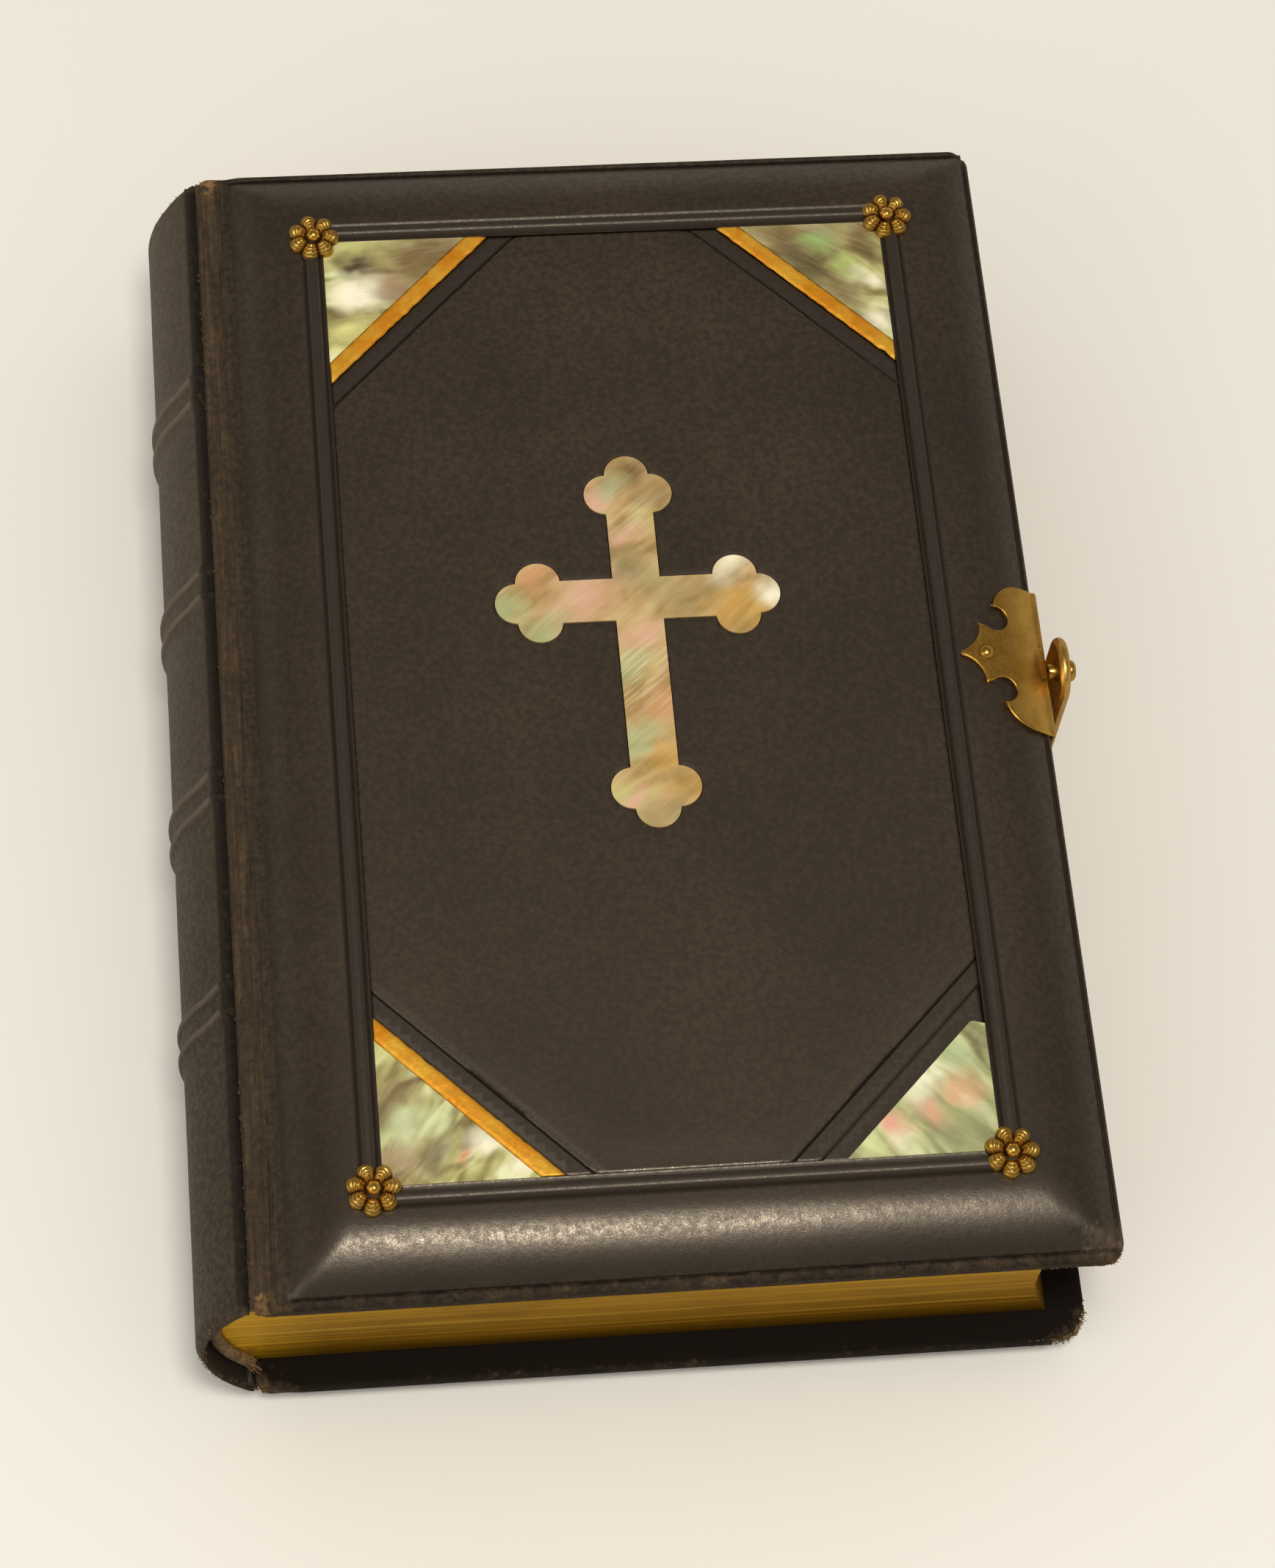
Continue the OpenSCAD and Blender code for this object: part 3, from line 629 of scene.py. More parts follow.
def padded_cover(framed, corners):
    """Points, faces and marks of a cover's leather: padded top, edge and turned-in underside."""
    rows, columns = len(y_lines), len(x_lines)
    made = [cover_point(x, y, framed, corners) for y in y_lines for x in x_lines]
    points, worn, burnished = [list(column) for column in zip(*made)]
    # painted shade for every point of the padded leather
    painted_shade = [painted_shade_on_cover(*p) for p in points]
    in_panel = [framed and abs(x) <= PANEL_X + 1e-6 and abs(y) <= PANEL_Y + 1e-6
                for y in y_lines for x in x_lines]
    faces = [face for face in grid_faces(rows, columns) if not all(in_panel[k] for k in face)]
    rim = ring = rim_of(rows, columns)
    edge_faces = []
    for height, pull, turned_in, wear, dark in EDGE_RINGS:
        new_ring = list(range(len(points), len(points) + len(rim)))
        for k in rim:
            x, y, _ = points[k]
            centre_x = clamp(x, EDGE_JOINT + PULL_ROUND, EDGE_FORE - PULL_ROUND)
            centre_y = clamp(y, PULL_ROUND - HALF_Y, HALF_Y - PULL_ROUND)
            gap = hypot(x - centre_x, y - centre_y) or 1.0
            under_x = clamp(x, EDGE_JOINT + TURN_JOINT, EDGE_FORE - TURN_WIDE)
            under_y = clamp(y, TURN_WIDE - HALF_Y, HALF_Y - TURN_WIDE)
            qx = lerp(x + (centre_x - x) / gap * pull, under_x, turned_in)
            qy = lerp(y + (centre_y - y) / gap * pull, under_y, turned_in)
            lump = 0.05 * waver(qx * 0.4, qy * 0.4, 3.0) if 0 < height < 1 else 0.0
            points.append((qx, qy, height + lump))
            worn.append(worn[k] * wear)
            burnished.append(0.0)
            # the front cover's tail edge faces the lamp, so it gets less painted shade
            lit_tail_edge = framed and y < 2 - HALF_Y and height > 0.2
            painted_shade.append(dark * (0.6 if lit_tail_edge else 1.0))
        for k in range(len(rim)):
            n = (k + 1) % len(rim)
            edge_faces.append((ring[n], ring[k], new_ring[k], new_ring[n]))
        ring = new_ring
    return points, faces, edge_faces, worn, burnished, painted_shade


# the flat panel: cut lines and lips are drawn as edges, and the sheet is meshed between them
CROSS_LOW, CROSS_HIGH, CROSS_HALF, CROSS_BAR = -24.1, 35.9, 20.5, 12.32
ARM_HALF, LOBE = 3.4, 3.196
CORNER_X, CORNER_Y, LEG = 41.7, 74.9, 21.0
STRIP_FAR, LINE_NEAR, LINE_FAR = 24.536, 28.071, 28.771
LINE_MID = (LINE_NEAR + LINE_FAR) / 2
CHANNEL_DEEP, LINE_DEEP = 0.5, 0.42
PANEL_COLUMNS, PANEL_ROWS = 64, 116
CHIP_Y = LEG - CORNER_Y - 2.0
SLANTS = [LEG, LINE_NEAR, LINE_NEAR + 0.18, LINE_MID, LINE_FAR - 0.18]
SLANTS += [STRIP_FAR + d for d in (-0.12, 0.0, 0.15, 0.3)]
SLANTS += [LINE_FAR + d for d in (0.0, 0.3, 0.6, 1.0, 1.4, 2.0)]
cross_discs, cross_bars = [], []
for turn, reach in ((0, CROSS_HIGH - CROSS_BAR), (90, CROSS_HALF),
                    (180, CROSS_BAR - CROSS_LOW), (270, CROSS_HALF)):
    c, s = cos(radians(turn)), sin(radians(turn))
    for u, v in ((0, reach - LOBE), (-LOBE, reach - 1.97 * LOBE), (LOBE, reach - 1.97 * LOBE)):
        cross_discs.append((u * c - v * s, CROSS_BAR + u * s + v * c))
    ends = [(-ARM_HALF, 0), (ARM_HALF, reach - 1.5 * LOBE)]
    xs = sorted(u * c - v * s for u, v in ends)
    ys = sorted(CROSS_BAR + u * s + v * c for u, v in ends)
    cross_bars.append((*xs, *ys))


def off_cross(x, y):
    """Distance outside the pearl cross, negative inside it."""
    best = min(hypot(x - u, y - v) - LOBE for u, v in cross_discs)
    for low_x, high_x, low_y, high_y in cross_bars:
        dx = max(low_x - x, x - high_x)
        dy = max(low_y - y, y - high_y)
        best = min(best, hypot(max(dx, 0), max(dy, 0)) + min(max(dx, dy), 0))
    return best


def from_corner(x, y):
    """How far a place lies from the nearest corner, counted along both edges."""
    return (CORNER_X - abs(x)) + (CORNER_Y - abs(y))


def panel_point(x, y):
    """Height of the panel's leather, how worn and how burnished it is."""
    near = from_corner(x, y)
    to_line = (near - LINE_FAR) / sqrt(2)
    inside = min(PANEL_X - abs(x), PANEL_Y - abs(y))
    z = COVER_THICK + 0.05 * waver(x * 0.05, y * 0.05, 3.0)
    pillow = fall(0, 5.5, min(to_line, inside)) if to_line > 0 else 0.3
    z -= 0.18 * pillow + 0.2 * fall(0.0, 1.2, to_line)
    z -= GROOVE_DEEP * 0.9 * fall(0.0, 0.25, inside)
    z -= LINE_DEEP * fall(0.04, 0.32, abs(near - LINE_MID))
    z += 0.07 * fall(0.0, 0.6, abs(near - LINE_MID - 0.75))
    z -= CHANNEL_DEEP * fall(STRIP_FAR - 0.12, STRIP_FAR + 0.3, near)
    off = off_cross(x, y)
    z -= 0.75 * fall(0.04, 0.14, off) + 0.10 * fall(0.1, 0.7, off)
    scraped = 0.6 + waver(x * 0.8, y * 0.8, 1.0)
    worn = 0.3 * fall(STRIP_FAR - 2.0, STRIP_FAR - 0.3, near) * scraped
    return z, worn, fall(LINE_NEAR, LINE_FAR, near)


class Sheet:
    """A flat sheet that is meshed between the lines drawn on it."""

    def __init__(self):
        self.dots, self.lines = [], []

    def draw(self, path, closed=False):
        first = len(self.dots)
        self.dots += [Vector(p) for p in path]
        self.lines += [(first + i, first + i + 1) for i in range(len(path) - 1)]
        if closed:
            self.lines.append((len(self.dots) - 1, first))

    def circle(self, x, y, radius, count):
        turns = [2 * pi * k / count for k in range(count)]
        self.draw([(x + radius * cos(a), y + radius * sin(a)) for a in turns], True)

    def box(self, low_x, high_x, low_y, high_y, count):
        corners = [(low_x, low_y), (high_x, low_y), (high_x, high_y), (low_x, high_y)]
        path = []
        for a, b in zip(corners, corners[1:] + corners[:1]):
            path += between(a, b, count)[:-1]
        self.draw(path, True)

    def cut(self, keep):
        """Its points, and the triangles whose middle is to be kept."""
        flat, _, triangles, _, _, _ = geometry.delaunay_2d_cdt(self.dots, self.lines, [], 0, 1e-5)
        faces = []
        for face in triangles:
            x, y = (sum(flat[k][axis] for k in face) / len(face) for axis in (0, 1))
            if keep(x, y):
                faces.append(tuple(face))
        return flat, faces


def between(a, b, count):
    return [(lerp(a[0], b[0], i / count), lerp(a[1], b[1], i / count)) for i in range(count + 1)]


def panel_stays(x, y):
    """Leather is left outside the cut-outs, and under the broken tip of a triangle."""
    under_chip = x > 0 and CHIP_Y - 0.6 < y < 0
    return off_cross(x, y) > 0.04 and (from_corner(x, y) > LEG - 0.02 or under_chip)


def flat_panel():
    sheet = Sheet()
    for inset in (0.0, 0.12, 0.26, 0.6):
        px, py = PANEL_X - inset, PANEL_Y - inset
        sheet.box(-px, px, -py, py, 90)
    for q in sorted(SLANTS):
        for sx in (-1, 1):
            for sy in (-1, 1):
                a = (sx * PANEL_X, sy * (CORNER_Y + (CORNER_X - PANEL_X) - q))
                b = (sx * (CORNER_X + (CORNER_Y - PANEL_Y) - q), sy * PANEL_Y)
                sheet.draw(between(a, b, 40))
    for wide in (0.05, 0.14, 0.35, 0.8):
        for u, v in cross_discs:
            sheet.circle(u, v, LOBE + wide, 40)
        for low_x, high_x, low_y, high_y in cross_bars:
            sheet.box(low_x - wide, high_x + wide, low_y - wide, high_y + wide, 12)
    for i in range(1, PANEL_COLUMNS):
        for j in range(1, PANEL_ROWS):
            x = -PANEL_X + 2 * PANEL_X * i / PANEL_COLUMNS
            y = -PANEL_Y + 2 * PANEL_Y * j / PANEL_ROWS
            if off_cross(x, y) > 1.0 and from_corner(x, y) > LEG:
                sheet.dots.append(Vector((x, y)))
    flat, faces = sheet.cut(panel_stays)
    heights, worn, burnished = zip(*[panel_point(p.x, p.y) for p in flat])
    return [(p.x, p.y, z) for p, z in zip(flat, heights)], faces, worn, burnished


def mark(piece, **marks):
    """Stores how worn or burnished each point is, for the finish to read."""
    for name, values in marks.items():
        piece.data.attributes.new(name, "FLOAT", "POINT").data.foreach_set("value", values)


def weld(piece, gap=0.001, face_up=False):
    """Joins points that fall together, so that no face is left without area."""
    shape = bmesh.new()
    shape.from_mesh(piece.data)
    bmesh.ops.remove_doubles(shape, verts=shape.verts, dist=gap * MM)
    loose = [v for v in shape.verts if not v.link_faces]
    bmesh.ops.delete(shape, geom=loose, context="VERTS")
    if face_up:
        bmesh.ops.recalc_face_normals(shape, faces=shape.faces)
        if sum(f.normal.z * f.calc_area() for f in shape.faces) < 0:
            bmesh.ops.reverse_faces(shape, faces=shape.faces)
    shape.to_mesh(piece.data)
    shape.free()


def leather_finish(name, light, dark, burnish, polish=0.7, smooth=0.23):
    """Calf: mottled and pored skin, that wears to suede and then to bare pale fibre; painted shade
    darkens it to near black where it is marked.
    """
    calf = new_finish(name)
    worn, burnished, painted_shade = [calf.mark(m) for m in ("worn", "burnished", "painted_shade")]
    cloud = calf.grain(26, 4.0)
    mottle = calf.grain(0.95, 4.0, roughness=0.62)
    pores = calf.grain(0.17, 2.0)
    fray = calf.grain(1.2, 4.0, roughness=0.65)
    streak = calf.grain(0.5, 3.0, (1, 24, 1), warp=0.3)
    scuff = calf.grain(0.42, 3.0, roughness=0.7)
    fibre = calf.plus(calf.times(fray, 0.35), calf.times(streak, 0.65))
    suede = calf.tint(calf.span(fibre, 0.36, 0.64), paint(52, 43, 32), paint(84, 68, 49))
    share = calf.plus(worn, calf.span(fray, 0.2, 0.8, -0.4, 0.4))
    share = calf.span(share, 0.3, 0.95, 0.0, 0.92)
    bare = calf.span(calf.plus(worn, calf.span(fray, 0.25, 0.75, -0.35, 0.35)), 1.08, 1.4)
    crack = calf.calc("ABSOLUTE", calf.calc("SUBTRACT", streak, 0.5))
    crack = calf.times(calf.span(crack, 0.0, 0.018, 0.4, 0.0), calf.span(worn, 0.3, 0.6))
    skin = calf.tint(calf.span(cloud, 0.3, 0.7), dark, light)
    for amount, colour in (
            (calf.span(mottle, 0.44, 0.62, 0.0, 0.8), [0.68 * v for v in dark[:3]] + [1.0]),
            (calf.span(mottle, 0.5, 0.34, 0.0, 0.32), [1.45 * v for v in light[:3]] + [1.0]),
            (calf.span(scuff, 0.66, 0.76, 0.0, 0.4), paint(126, 110, 90)),
            (calf.span(pores, 0.5, 0.72, 0.0, 0.22), paint(28, 22, 17)),
            # painted shade: near black where the leather is marked for it
            (burnished, burnish), (painted_shade, paint(15, 9, 7)), (share, suede),
            (bare, paint(138, 106, 62)), (crack, paint(20, 15, 11))):
        skin = calf.tint(amount, skin, colour)
    gloss = calf.span(pores, 0.35, 0.65, smooth, smooth + 0.16)
    for more in (calf.span(mottle, 0.36, 0.64, -0.05, 0.09), calf.times(burnished, 0.12),
                 calf.calc("MAXIMUM", calf.times(share, 0.5),
                           calf.span(painted_shade, 0.4, 1.0, 0.0, 0.4))):
        gloss = calf.plus(gloss, more)
    calf.feed({"Base Color": skin, "Roughness": gloss, "Specular IOR Level": polish,
               "Specular Tint": (1.0, 0.88, 0.72, 1), "Coat Weight": 0.28 if polish > 0.5 else 0.0,
               "Coat Roughness": 0.45, "Coat Tint": (1.0, 0.9, 0.76, 1)})
    feeds = {"Vector": calf.place, "Scale": 1 / (0.19 * MM)}
    cells = calf.put("TexVoronoi", feeds).outputs["Distance"]
    keep = calf.span(burnished, 0.0, 1.0, 1.0, 0.3)
    pored = calf.plus(calf.times(cells, -0.6), pores)
    calf.relief((calf.times(mottle, keep), 0.3, 0.1), (calf.times(pored, keep), 0.13, 0.07),
                (calf.calc("SUBTRACT", calf.times(fray, share), crack), 0.5, 0.3))
    return calf


cover_calf = leather_finish("brown_calf", paint(60, 49, 37), paint(45, 36, 27), paint(40, 33, 27))
edge_calf = leather_finish("turned_in_calf", paint(74, 62, 49), paint(60, 50, 39),
                           paint(30, 24, 20), 0.3, 0.55)


def cover_piece(name, framed, corners, place_z, body, node):
    points, faces, edge_faces, worn, burnished, painted_shade = padded_cover(framed, corners)
    if framed:
        more, panel_faces, panel_worn, panel_burnished = flat_panel()
        faces += [tuple(k + len(points) for k in face) for face in panel_faces]
        points += more
        worn += panel_worn
        burnished += panel_burnished
        # painted shade in the pressed line round the panel
        off_line = [abs(from_corner(x, y) - LINE_MID) for x, y, _ in more]
        painted_shade += [0.8 * fall(0.1, 0.34, off) for off in off_line]
    which = []
    for face in faces:
        xs, ys = [points[k][0] for k in face], [points[k][1] for k in face]
        at_end = min(ys) > HALF_Y - RUBBED_ENDS or max(ys) < RUBBED_ENDS - HALF_Y
        which.append(int(max(xs) < EDGE_JOINT + RUBBED_JOINT or at_end))
    which += [1] * len(edge_faces)
    faces += edge_faces
    if place_z(1) < place_z(0):
        faces = [face[::-1] for face in faces]
    placed = [(x, y, place_z(z)) for x, y, z in points]
    piece = new_piece(name, placed, faces, cover_calf, edge_calf, face_finish=which, sharp=55)
    mark(piece, worn=worn, burnished=burnished, painted_shade=painted_shade)
    weld(piece)
    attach(piece, body)
    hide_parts(node)


cover_piece("front_cover_leather", True, FRONT_CORNERS, lambda z: FRONT_Z + z,
            "front_cover", "front_leather")
cover_piece("back_cover_leather", False, BACK_CORNERS, lambda z: COVER_THICK - z,
            "back_cover", "back_leather")

# Spine leather: a separate strip of the same calf, pasted over the rounded back of the
# leaves and pressed down on both sides of the doubled cords that make its raised bands.
SPINE_HALF_Y = 89.7
SPINE_END_X, SPINE_RADIUS = -61.2, 24.684
SPINE_TURN = degrees(acos((SPINE_AXIS_X - SPINE_END_X) / SPINE_RADIUS))
SPINE_THICK, CAP_WIDE = 1.4, 1.6
BAND_MIDDLES = [3.65 + 32.5 * (1.5 - i) for i in range(4)]
RIDGE_OFF, RIDGE_RISE, RIDGE_FOOT = 1.95, 0.7, 0.75 * 1.6


def spine_rise(y, turn):
    """Height of the raised bands at this place of the spine."""
    curl = 1.1 * fade(0.72, 1.0, abs(turn) / SPINE_TURN)
    rise = 0.0
    for middle in BAND_MIDDLES:
        for s in (-1, 1):
            off = abs(y - middle - s * RIDGE_OFF - curl)
            rise = max(rise, RIDGE_RISE * fall(0.1, RIDGE_FOOT, off))
        off = abs(y - middle - curl)
        rise = max(rise, 0.22 * fall(RIDGE_OFF, RIDGE_OFF + 2.6, off))
    return rise


spine_y = set(round(v, 3) for v in np.linspace(-SPINE_HALF_Y, SPINE_HALF_Y, 130))
for middle in BAND_MIDDLES:
    spine_y |= set(round(middle + v, 3) for v in np.linspace(-5.5, 6.5, 60))
spine_y = [v for v in sorted(spine_y) if -SPINE_HALF_Y <= v <= SPINE_HALF_Y]
spine_turns = np.linspace(-SPINE_TURN, SPINE_TURN, 57)
spine_points, spine_worn, spine_painted_shade, spine_lightened = [], [], [], []
for inner in (False, True):
    for y in spine_y:
        end = SPINE_HALF_Y - abs(y)
        cap = 0.9 * (1 - sqrt(max(0.0, 1 - (1 - min(1.0, end / CAP_WIDE)) ** 2)))
        for k, turn in enumerate(spine_turns):
            edge = SPINE_TURN - abs(turn)
            rub = spine_rise(y, turn)
            ragged = waver(y * 0.45, turn * 0.02, 6.0) + 0.5 * waver(y * 1.6, 1.0, 2.0)
            at = turn
            if k in (0, len(spine_turns) - 1):
                at = turn - copysign(0.55 * max(0.0, ragged + 0.2), turn)
            radius = SPINE_RADIUS
            if inner:
                radius += (cap * 0.3 if end < CAP_WIDE else 0.0) - SPINE_THICK
            else:
                radius += rub - cap - 0.05 + 0.07 * waver(y * 0.06, turn * 0.05, 1.0)
                radius -= 0.5 * fall(0.0, 1.6, edge) ** 2
            spine_points.append(round_spine(radius, radians(at), y))
            wear = (0.2 + 0.4 * ragged) * fall(0.2, 1.4, edge)
            wear = max(wear, (0.9 + 0.5 * ragged) * fall(0.3, 2.2, end + 0.6 * ragged))
            spine_worn.append(max(wear, 0.22 * fade(0.55, 0.75, rub)))
            # painted shade along the sides of the back, where they run down into the joints, and
            # on its inner face
            spine_painted_shade.append(0.7 if inner else 0.95 * fall(0.8, 3.4, edge))
            # the back is painted lighter toward its head and on its lower half, and on the tops of
            # the ridges
            lighter_to_head = 0.45 * fade(-80, 60, y) * (1 - 0.6 * fade(0, 40, turn))
            spine_lightened.append(lighter_to_head + 0.4 * fade(0.35, 0.65, rub))
spine_rows, spine_columns = len(spine_y), len(spine_turns)
one_side = spine_rows * spine_columns
spine_faces = grid_faces(spine_rows, spine_columns, flip=True)
spine_faces += grid_faces(spine_rows, spine_columns, one_side)
spine_rim = rim_of(spine_rows, spine_columns)
for a, b in zip(spine_rim, spine_rim[1:] + spine_rim[:1]):
    spine_faces.append((a, b, b + one_side, a + one_side))
spine_calf = leather_finish("spine_calf", paint(60, 50, 39), paint(47, 38, 29),
                            paint(118, 105, 90), 0.42, 0.36)
spine_skin = new_piece("spine_leather_skin", spine_points, spine_faces, spine_calf, sharp=60)
mark(spine_skin, worn=spine_worn, burnished=spine_lightened, painted_shade=spine_painted_shade)
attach(spine_skin, "leaf_block")
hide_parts("spine_leather")

# Joint leather: the thin strip that bends where each cover opens. It is worn through to
# the fibre, darkened by painted shade in the fold, and lies against the edge of the
# spine and of the board.
JOINT_HALF_Y, JOINT_ROWS, JOINT_THICK = 89.2, 160, 0.35
JOINT_PATH = [(-61.75, 37.1), (-61.6, 37.6), (-61.3, 37.2), (-61.0, 36.65),
              (-60.6, 36.6), (-60.3, 37.2), (-60.12, 38.0), (-60.05, 38.5)]
JOINT_WEAR = (0.0, 0.15, 0.1, 0.0, 0.0, 0.2, 0.5, 0.6)
joint_calf = leather_finish("joint_calf", paint(34, 27, 20), paint(22, 17, 13), paint(24, 19, 15))


def thicken(piece, name, thick):
    """Gives a sheet its thickness, below the side that is seen."""
    sheet = piece.modifiers.new(name, "SOLIDIFY")
    sheet.thickness, sheet.offset = thick * MM, -1


def joint_strip(name, up):
    points, worn = [], []
    for i in range(JOINT_ROWS + 1):
        y = (i / JOINT_ROWS * 2 - 1) * JOINT_HALF_Y
        for k, (x, z) in enumerate(JOINT_PATH):
            lump = waver(y * 0.5, k * 0.35, 3.0 + up) + 0.5 * waver(y * 1.8, k * 0.7, 5.0)
            depth = z + 0.22 * lump * (0.3 if k in (0, len(JOINT_PATH) - 1) else 1.0)
            points.append((x + 0.08 * lump, y, depth if up > 0 else 2 * MID_Z - depth))
            worn.append(max(0.0, JOINT_WEAR[k] + 0.3 * lump))
    faces = grid_faces(JOINT_ROWS + 1, len(JOINT_PATH), flip=up < 0)
    strip = new_piece(name, points, faces, joint_calf, sharp=70)
    # painted shade of the fold over the whole strip
    mark(strip, worn=worn, burnished=[0.0] * len(points), painted_shade=[0.85] * len(points))
    thicken(strip, "thickness", JOINT_THICK)
    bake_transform(strip)


joint_strip("front_joint_leather", 1)
joint_strip("back_joint_leather", -1)

# Pearl inlays: thin plates sawn from shell, a cross with three lobes at each end and four
# corner triangles, glued into cut-outs in the leather and rubbed flush with it.
PANEL_TOP, PEARL_LOW = 43.0, 42.0
PATCH_LONG = 1.5


def shell_finish(name, stops, turn, band, patches, shine=()):
    """Shell with soft bands along turn, tinted in patches of (x, y, size, colour, strength);
    shine is spots of painted sheen, each (x, y, size, strength).
    """
    shell = new_finish(name, 0.22)
    c, s = cos(radians(turn)), sin(radians(turn))

    def vector(operation, first, second, socket=1, output=0):
        feeds = {0: first, socket: second}
        return shell.put("VectorMath", feeds, operation=operation).outputs[output]

    feeds = {"Vector": shell.place, "Scale": 1 / (5 * MM), "Detail": 2.0}
    drift = shell.put("TexNoise", feeds).outputs["Color"]
    drift = vector("SCALE", vector("SUBTRACT", drift, (0.5, 0.5, 0.5)), 6 * MM, "Scale")
    swayed = shell.laid(vector("ADD", shell.place, drift), turn, (PATCH_LONG, 1, 1))

    def patch(x, y, size):
        at = ((x * c - y * s) / PATCH_LONG * MM, (x * s + y * c) * MM, PANEL_TOP * MM)
        off = vector("DISTANCE", swayed, at, output="Value")
        feeds = {"Value": off, "From Min": size * MM, "From Max": 0.0}
        return shell.put("MapRange", feeds, interpolation_type="SMOOTHSTEP").outputs[0]

    bands = shell.grain(band, 1.0, (2.6, 1.0, 1.0), turn, 0.4, 1.2)
    cloud = shell.grain(3.5, warp=0.8)
    lines = shell.grain(0.45, 1.5, (14.0, 1.0, 1.0), turn - 8, 0.5, 0.3)
    lustre = shell.ramp(shell.plus(shell.times(bands, 0.8), shell.times(cloud, 0.2)), stops)
    for x, y, size, colour, strength in patches:
        broken = shell.span(bands, 0.35, 0.6, 0.75 * strength, 1.15 * strength)
        lustre = shell.tint(shell.times(patch(x, y, size), broken), lustre, colour)
    lustre = shell.tint(shell.span(lines, 0.52, 0.75, 0.0, 0.08), lustre, paint(104, 84, 50))
    # painted sheen: pale spots laid over the shell where shine puts them
    bright = 0.05
    for x, y, size, strength in shine:
        bright = shell.plus(shell.times(patch(x, y, size), strength), bright)
    bright = shell.times(shell.span(lines, 0.5, 0.36), bright)
    shell.feed({"Base Color": shell.tint(bright, lustre, paint(246, 240, 206)),
                "Roughness": shell.span(cloud, 0.3, 0.7, 0.16, 0.3),
                "Coat Weight": 0.35, "Coat Roughness": 0.12})
    shell.relief((lines, 0.05, 0.05), (cloud, 0.06, 0.2))
    return shell


PINK, SALMON, GREEN = paint(218, 170, 142), paint(208, 150, 104), paint(168, 184, 132)
CREAM, OLIVE, UMBER = paint(252, 246, 214), paint(150, 134, 88), paint(126, 100, 54)
HONEY, MOSS, BARK = paint(202, 156, 66), paint(196, 192, 118), paint(128, 104, 66)
cross_stops = [(0.34, paint(156, 128, 76)), (0.46, paint(186, 152, 96)),
               (0.56, paint(200, 168, 116)), (0.66, paint(200, 182, 122))]
dark_stops = [(0.32, paint(104, 90, 52)), (0.45, paint(150, 140, 84)),
              (0.55, paint(190, 186, 118)), (0.68, paint(228, 228, 172))]
pale_stops = [(0.32, paint(122, 116, 76)), (0.45, paint(166, 166, 114)),
              (0.55, paint(198, 200, 146)), (0.68, paint(232, 232, 190))]
cross_patches = [
    (0, 33, 5.0, UMBER, 0.9), (-5, 29, 3.6, PINK, 0.9), (-2.6, 31, 2.4, GREEN, 0.6),
    (4.5, 29.4, 4.0, UMBER, 0.6), (1.6, 25.0, 3.4, MOSS, 0.8), (-1.6, 22.6, 3.2, PINK, 0.8),
    (-0.5, 17.4, 4.6, OLIVE, 0.9), (2.0, 13.6, 3.6, OLIVE, 0.6), (-8, 12.6, 6.5, PINK, 0.8),
    (-14.4, 16.4, 3.8, SALMON, 0.8), (-19.4, 11, 4.2, GREEN, 0.9), (-14.2, 7.4, 4.2, GREEN, 0.95),
    (7.5, 12.4, 5.0, OLIVE, 0.6), (14.5, 10.5, 6.0, HONEY, 0.9), (13.8, 17.4, 4.0, CREAM, 0.75),
    (19.6, 13.2, 3.8, CREAM, 1.0), (0, 6.4, 4.2, PINK, 0.85), (-2.0, 0.6, 3.6, GREEN, 0.7),
    (1.8, -4.4, 4.0, SALMON, 0.75), (-2.2, -10.5, 4.6, GREEN, 0.7), (1.6, -13.5, 3.8, HONEY, 0.6),
    (-5.4, -18.6, 3.2, MOSS, 0.8), (-2.6, -19.6, 2.4, PINK, 0.9), (0.6, -22.4, 3.6, OLIVE, 0.8),
    (5.2, -17.6, 3.6, HONEY, 0.6)]
